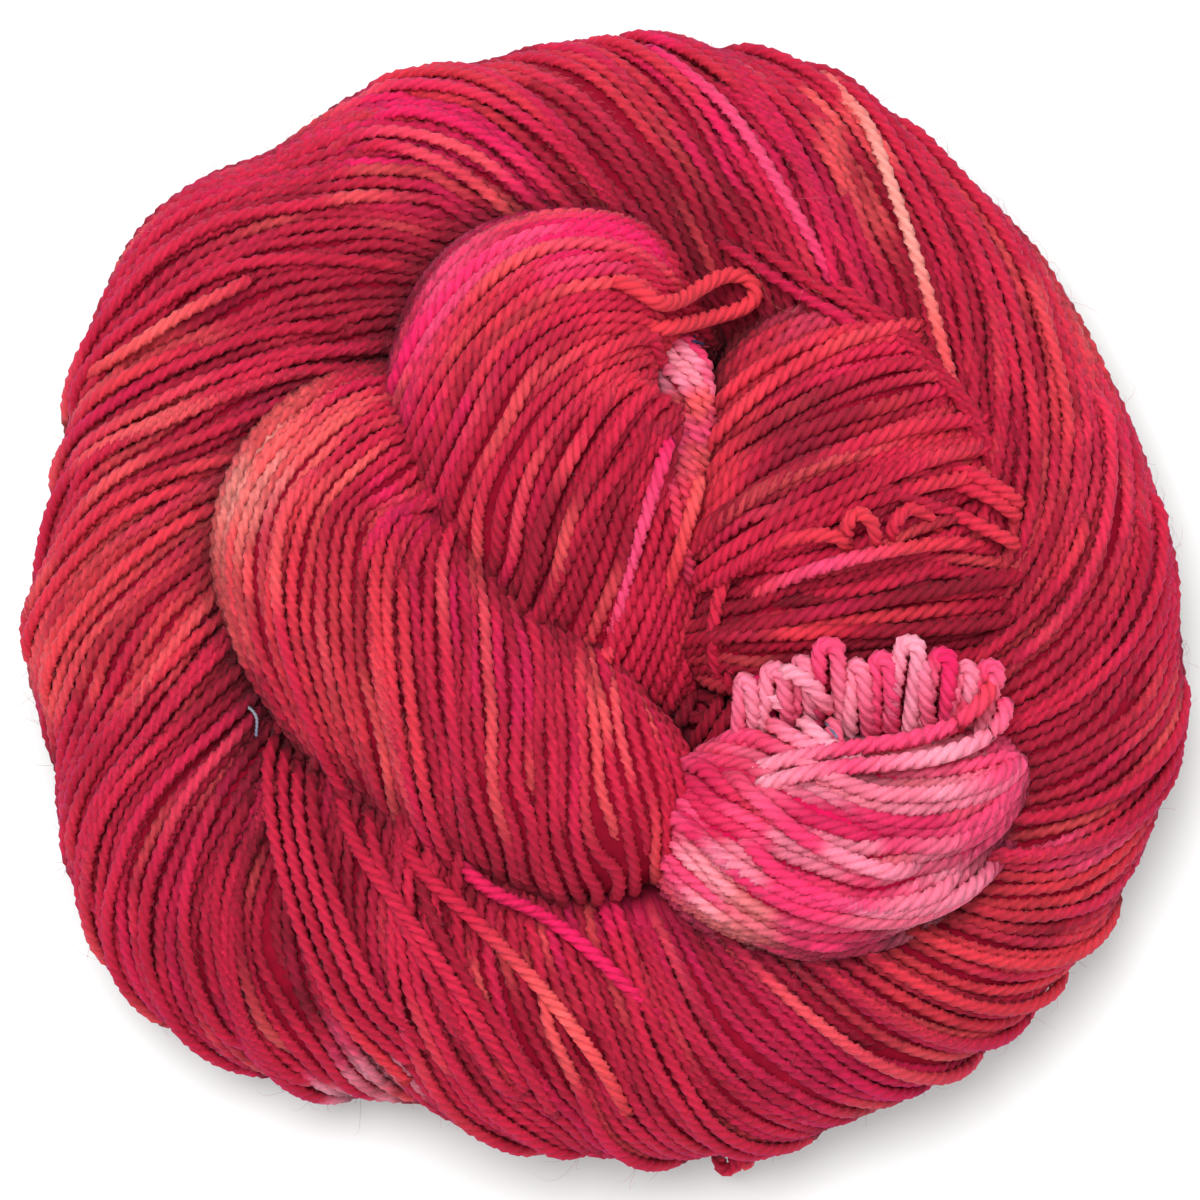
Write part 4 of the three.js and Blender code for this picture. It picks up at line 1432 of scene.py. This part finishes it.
@dataclass
class Hank:
    """The wound hank: its turns, the core they lie on and the stray bits."""

    finish: bpy.types.Material
    core_finish: bpy.types.Material
    knob_finish: bpy.types.Material
    windings: dict[str, Winding] = field(default_factory=dict)

    SIDES = ("right", "top", "left", "foot")  # of the rosette, in the order of their bearings
    CORE_STEP = 2.5 * MM
    CORE_SIDES = 48
    CORE_DEPTHS = (1.2, 1.6)  # of every other side under the surface, in millimetres
    CORE_GROUND = 0.4 * MM

    def wind(self) -> None:
        """Lay the turns of every lobe."""
        full = (-180.0, 180.0)
        over = (-14.0, 194.0)
        inner = DyeBath(WINE)
        plans = (
            Winding(OUTER_TURN, OUTER_DYES_AND_SHADE, riders=66, pitch=0.77, seed=11),
            Winding(INNER_TURN, inner, yarn=HIDDEN, shown=full, riders=0, pitch=1.05, seed=12),
            Winding(LONG_LOBE, LONG_DYES_AND_PAINTED_LIGHT, shown=(-20.0, 200.0), riders=7, pitch=0.8, seed=13),
            Winding(FAN_LOBE, FAN_DYES_AND_SHADE, yarn=OPEN, shown=(-24.0, 205.0), ends=(0.0, 1.0), riders=4,
                    sway=0.7, wander=0.22, seed=14),
            Winding(SIDE_FAN, SIDE_BATH, yarn=OPEN, shown=over, riders=9, uneven=0.3, seed=15),
            Winding(LEVEL_LOBE, LEVEL_BATH, yarn=OPEN, pitch=0.9, shown=over, riders=4, uneven=0.2,
                    seed=16),
            Winding(END_KNOB, KNOB_BATH, yarn=PLUMP, shown=(-24.0, 204.0), riders=5, pitch=0.8,
                    uneven=0.2, seed=17),
            Winding(CREASE_TURNS, CREASE_BATH, yarn=OPEN, shown=over, ends=(0.0, 1.0), riders=1,
                    wander=0.1, sway=0.3, seed=18),
        )
        for plan in plans:
            self.windings[plan.lobe.name] = plan.lay()

    def build(self) -> None:
        """Make the pieces."""
        surface = Surface([winding.lobe for winding in self.windings.values()])
        loops = [bight.strand() for bight in KNOB_LOOPS]
        laid = [turn.strand(surface) for turn in LAID_TURNS]
        under = [strand for winding in self.windings.values() for strand in winding.plain]
        seen = [strand for winding in self.windings.values() for strand in winding.fine]
        creases = Creases(surface)
        # Painted crease shade: the colours of the yarn are darkened where the lobes rise round it.
        for strand in seen + under + laid + loops:
            strand.colours *= creases.shade(strand.points)[:, None]
        for name, winding in self.windings.items():
            if name == "outer_turn":
                for side, strands in self._sectors(winding.fine).items():
                    self._piece(f"{name}_{side}", strands)
            else:
                self._piece(name, winding.fine)
        self._piece("underside_turns", under)
        self._piece("knob_loops", loops)
        self._piece("crossing_turns", laid)
        self._piece("tie_specks", [turn.strand(surface) for turn in TIE_SPECKS])
        self._piece("stray_fibres", [turn.strand(surface) for turn in STRAY_FIBRES])
        self._piece("fibre_halo", Halo().strands(seen + loops + loops + laid))
        for winding in self.windings.values():
            self._core(winding.lobe)

    def _sectors(self, strands: Sequence[Strand]) -> dict[str, list[Strand]]:
        """Sort the outer turn's lengths by the side of the rosette they lie on."""
        sides: dict[str, list[Strand]] = {side: [] for side in self.SIDES}
        quarter = 360.0 / len(self.SIDES)
        for strand in strands:
            x, y = strand.points[len(strand.points) // 2, :2]
            bearing = math.degrees(math.atan2(y, x)) + 360.0 + quarter / 2.0
            sides[self.SIDES[int(bearing % 360.0 // quarter)]].append(strand)
        return sides

    def _piece(self, name: str, strands: Sequence[Strand]) -> None:
        """Lay one piece of yarn that stands for part of the hank."""
        if strands:
            piece = lay_yarn(name, strands, self.finish)
            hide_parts("hank")

    def _core(self, lobe: Lobe) -> None:
        """Make the closed core that the turns of one lobe lie on."""
        survey = lobe.survey(self.CORE_STEP)
        ring = [(90.0 + side * 360.0 / self.CORE_SIDES, 1.0) for side in range(self.CORE_SIDES)]
        mesh = drawn_out(f"{lobe.name}_core", ring, len(survey.run) - 1)
        flat = read_array(mesh.vertices, "co", 3)
        row = np.rint(flat[:, 2]).astype(int)
        angle = np.arctan2(flat[:, 1], flat[:, 0])
        number = np.rint(angle / FULL_TURN * self.CORE_SIDES).astype(int)
        inset = np.array(self.CORE_DEPTHS)[number % 2] * MM
        points, _ = survey.part(row).place(angle + survey.turn[row], inset)
        points[:, 2] = np.maximum(points[:, 2], self.CORE_GROUND)
        mesh.vertices.foreach_set("co", points.astype(np.float32).ravel())
        mesh.polygons.foreach_set("use_smooth", np.ones(len(mesh.polygons), bool))
        mesh.update()
        finish = self.knob_finish if lobe is END_KNOB else self.core_finish
        piece = build_object(f"{lobe.name}_core", mesh, finish)
        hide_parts("hank")


@dataclass
class LooseLoop:
    """The loose loop of yarn at the pinch of the fan."""

    finish: bpy.types.Material
    thickness: float = 0.0022
    seed: int = 5
    route: tuple[tuple[float, float, float], ...] = (
        (0.0012, 0.0426, 0.0510),
        (0.0042, 0.0412, 0.0510),
        (0.0070, 0.0396, 0.0500),
        (0.0096, 0.0400, 0.0464),
        (0.0125, 0.0418, 0.0424),
        (0.0152, 0.0432, 0.0392),
        (0.0178, 0.0432, 0.0378),
        (0.0193, 0.0417, 0.0378),
        (0.0190, 0.0400, 0.0376),
        (0.0172, 0.0389, 0.0382),
        (0.0146, 0.0381, 0.0400),
        (0.0116, 0.0372, 0.0432),
        (0.0088, 0.0366, 0.0468),
        (0.0064, 0.0363, 0.0480),
        (0.0044, 0.0364, 0.0462),
    )

    def build(self) -> bpy.types.Object:
        yarn = Yarn(self.thickness, Section.ROUNDED, ply_turn=5.6 * MM, step=0.5 * MM)
        points = even_curve(np.array(self.route), yarn.step)
        outward = np.tile(UPWARD, (len(points), 1))
        rng = np.random.default_rng(self.seed)
        colours = DyeBath(SCARLET, streak=0.05).colours(points, along_route(points), rng)
        strand = Strand(yarn, points, outward, colours, np.ones(len(points)))
        piece = lay_yarn("loose_loop_yarn", [strand], self.finish)
        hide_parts("loose_loop")
        return piece


# Studio

@dataclass(frozen=True)
class Studio:
    """Pale floor, soft light from above and a long lens looking straight down."""

    view_width: float = 155.8 * MM
    view_middle: tuple[float, float] = (-0.65 * MM, 1.43 * MM)
    view_level: float = 18.0 * MM
    camera_height: float = 3.0
    camera_reach: float = 20.0
    sensor: float = 36.0
    sky: float = 0.84
    key: float = 2.25
    key_spread: float = 30.0
    key_tilt: tuple[float, float] = (-15.0, -8.0)
    floor_half: float = 6.0
    floor_tone: float = 0.95

    def build(self) -> None:
        """Set up the floor, world, lights and camera."""
        self._floor()
        self._world()
        self._key_light()
        self._camera()
        bpy.context.scene.view_settings.view_transform = "Standard"

    def _floor(self) -> None:
        """Lay the floor."""
        work = bmesh.new()
        bmesh.ops.create_grid(work, x_segments=2, y_segments=2, size=self.floor_half)
        mesh = bpy.data.meshes.new("floor")
        work.to_mesh(mesh)
        work.free()
        tone = (self.floor_tone, self.floor_tone, self.floor_tone, 1.0)
        mesh.materials.append(start_material("pale_floor", {"Base Color": tone, "Roughness": 1.0}))
        floor = bpy.data.objects.new("floor", mesh)
        bpy.context.scene.collection.objects.link(floor)

    def _world(self) -> None:
        """Light the scene evenly from all round."""
        world = bpy.data.worlds.new("studio")
        world.use_nodes = True
        sky = {"Color": (1.0, 1.0, 1.0, 1.0), "Strength": self.sky}
        set_sockets(world.node_tree.nodes["Background"], sky)
        bpy.context.scene.world = world

    def _key_light(self) -> None:
        """Add a broad soft lamp, tilted about X and Y in degrees."""
        lamp = bpy.data.lights.new("key_light", "SUN")
        lamp.energy = self.key
        lamp.angle = math.radians(self.key_spread)
        holder = bpy.data.objects.new("key_light", lamp)
        holder.rotation_euler = (*(math.radians(angle) for angle in self.key_tilt), 0.0)
        bpy.context.scene.collection.objects.link(holder)

    def _camera(self) -> None:
        """Look straight down on the hank."""
        lens = bpy.data.cameras.new("camera")
        lens.sensor_width = self.sensor
        lens.sensor_fit = "HORIZONTAL"
        lens.lens = self.sensor * (self.camera_height - self.view_level) / self.view_width
        lens.clip_end = self.camera_reach
        camera = bpy.data.objects.new("camera", lens)
        camera.location = (*self.view_middle, self.camera_height)
        bpy.context.scene.collection.objects.link(camera)
        bpy.context.scene.camera = camera


def main() -> None:
    """Build the studio, the hank and its loose loop."""
    logging.basicConfig(level=logging.INFO, format="%(name)s: %(message)s")
    Studio().build()
    finish = YarnFinish("dyed_yarn").material()
    LooseLoop(YarnFinish("loop_yarn").material()).build()
    knob_inside = CoreFinish("knob_inside", RASPBERRY, FUCHSIA).material()
    hank = Hank(finish, CoreFinish().material(), knob_inside)
    hank.wind()
    hank.build()


if __name__ == "__main__":
    main()
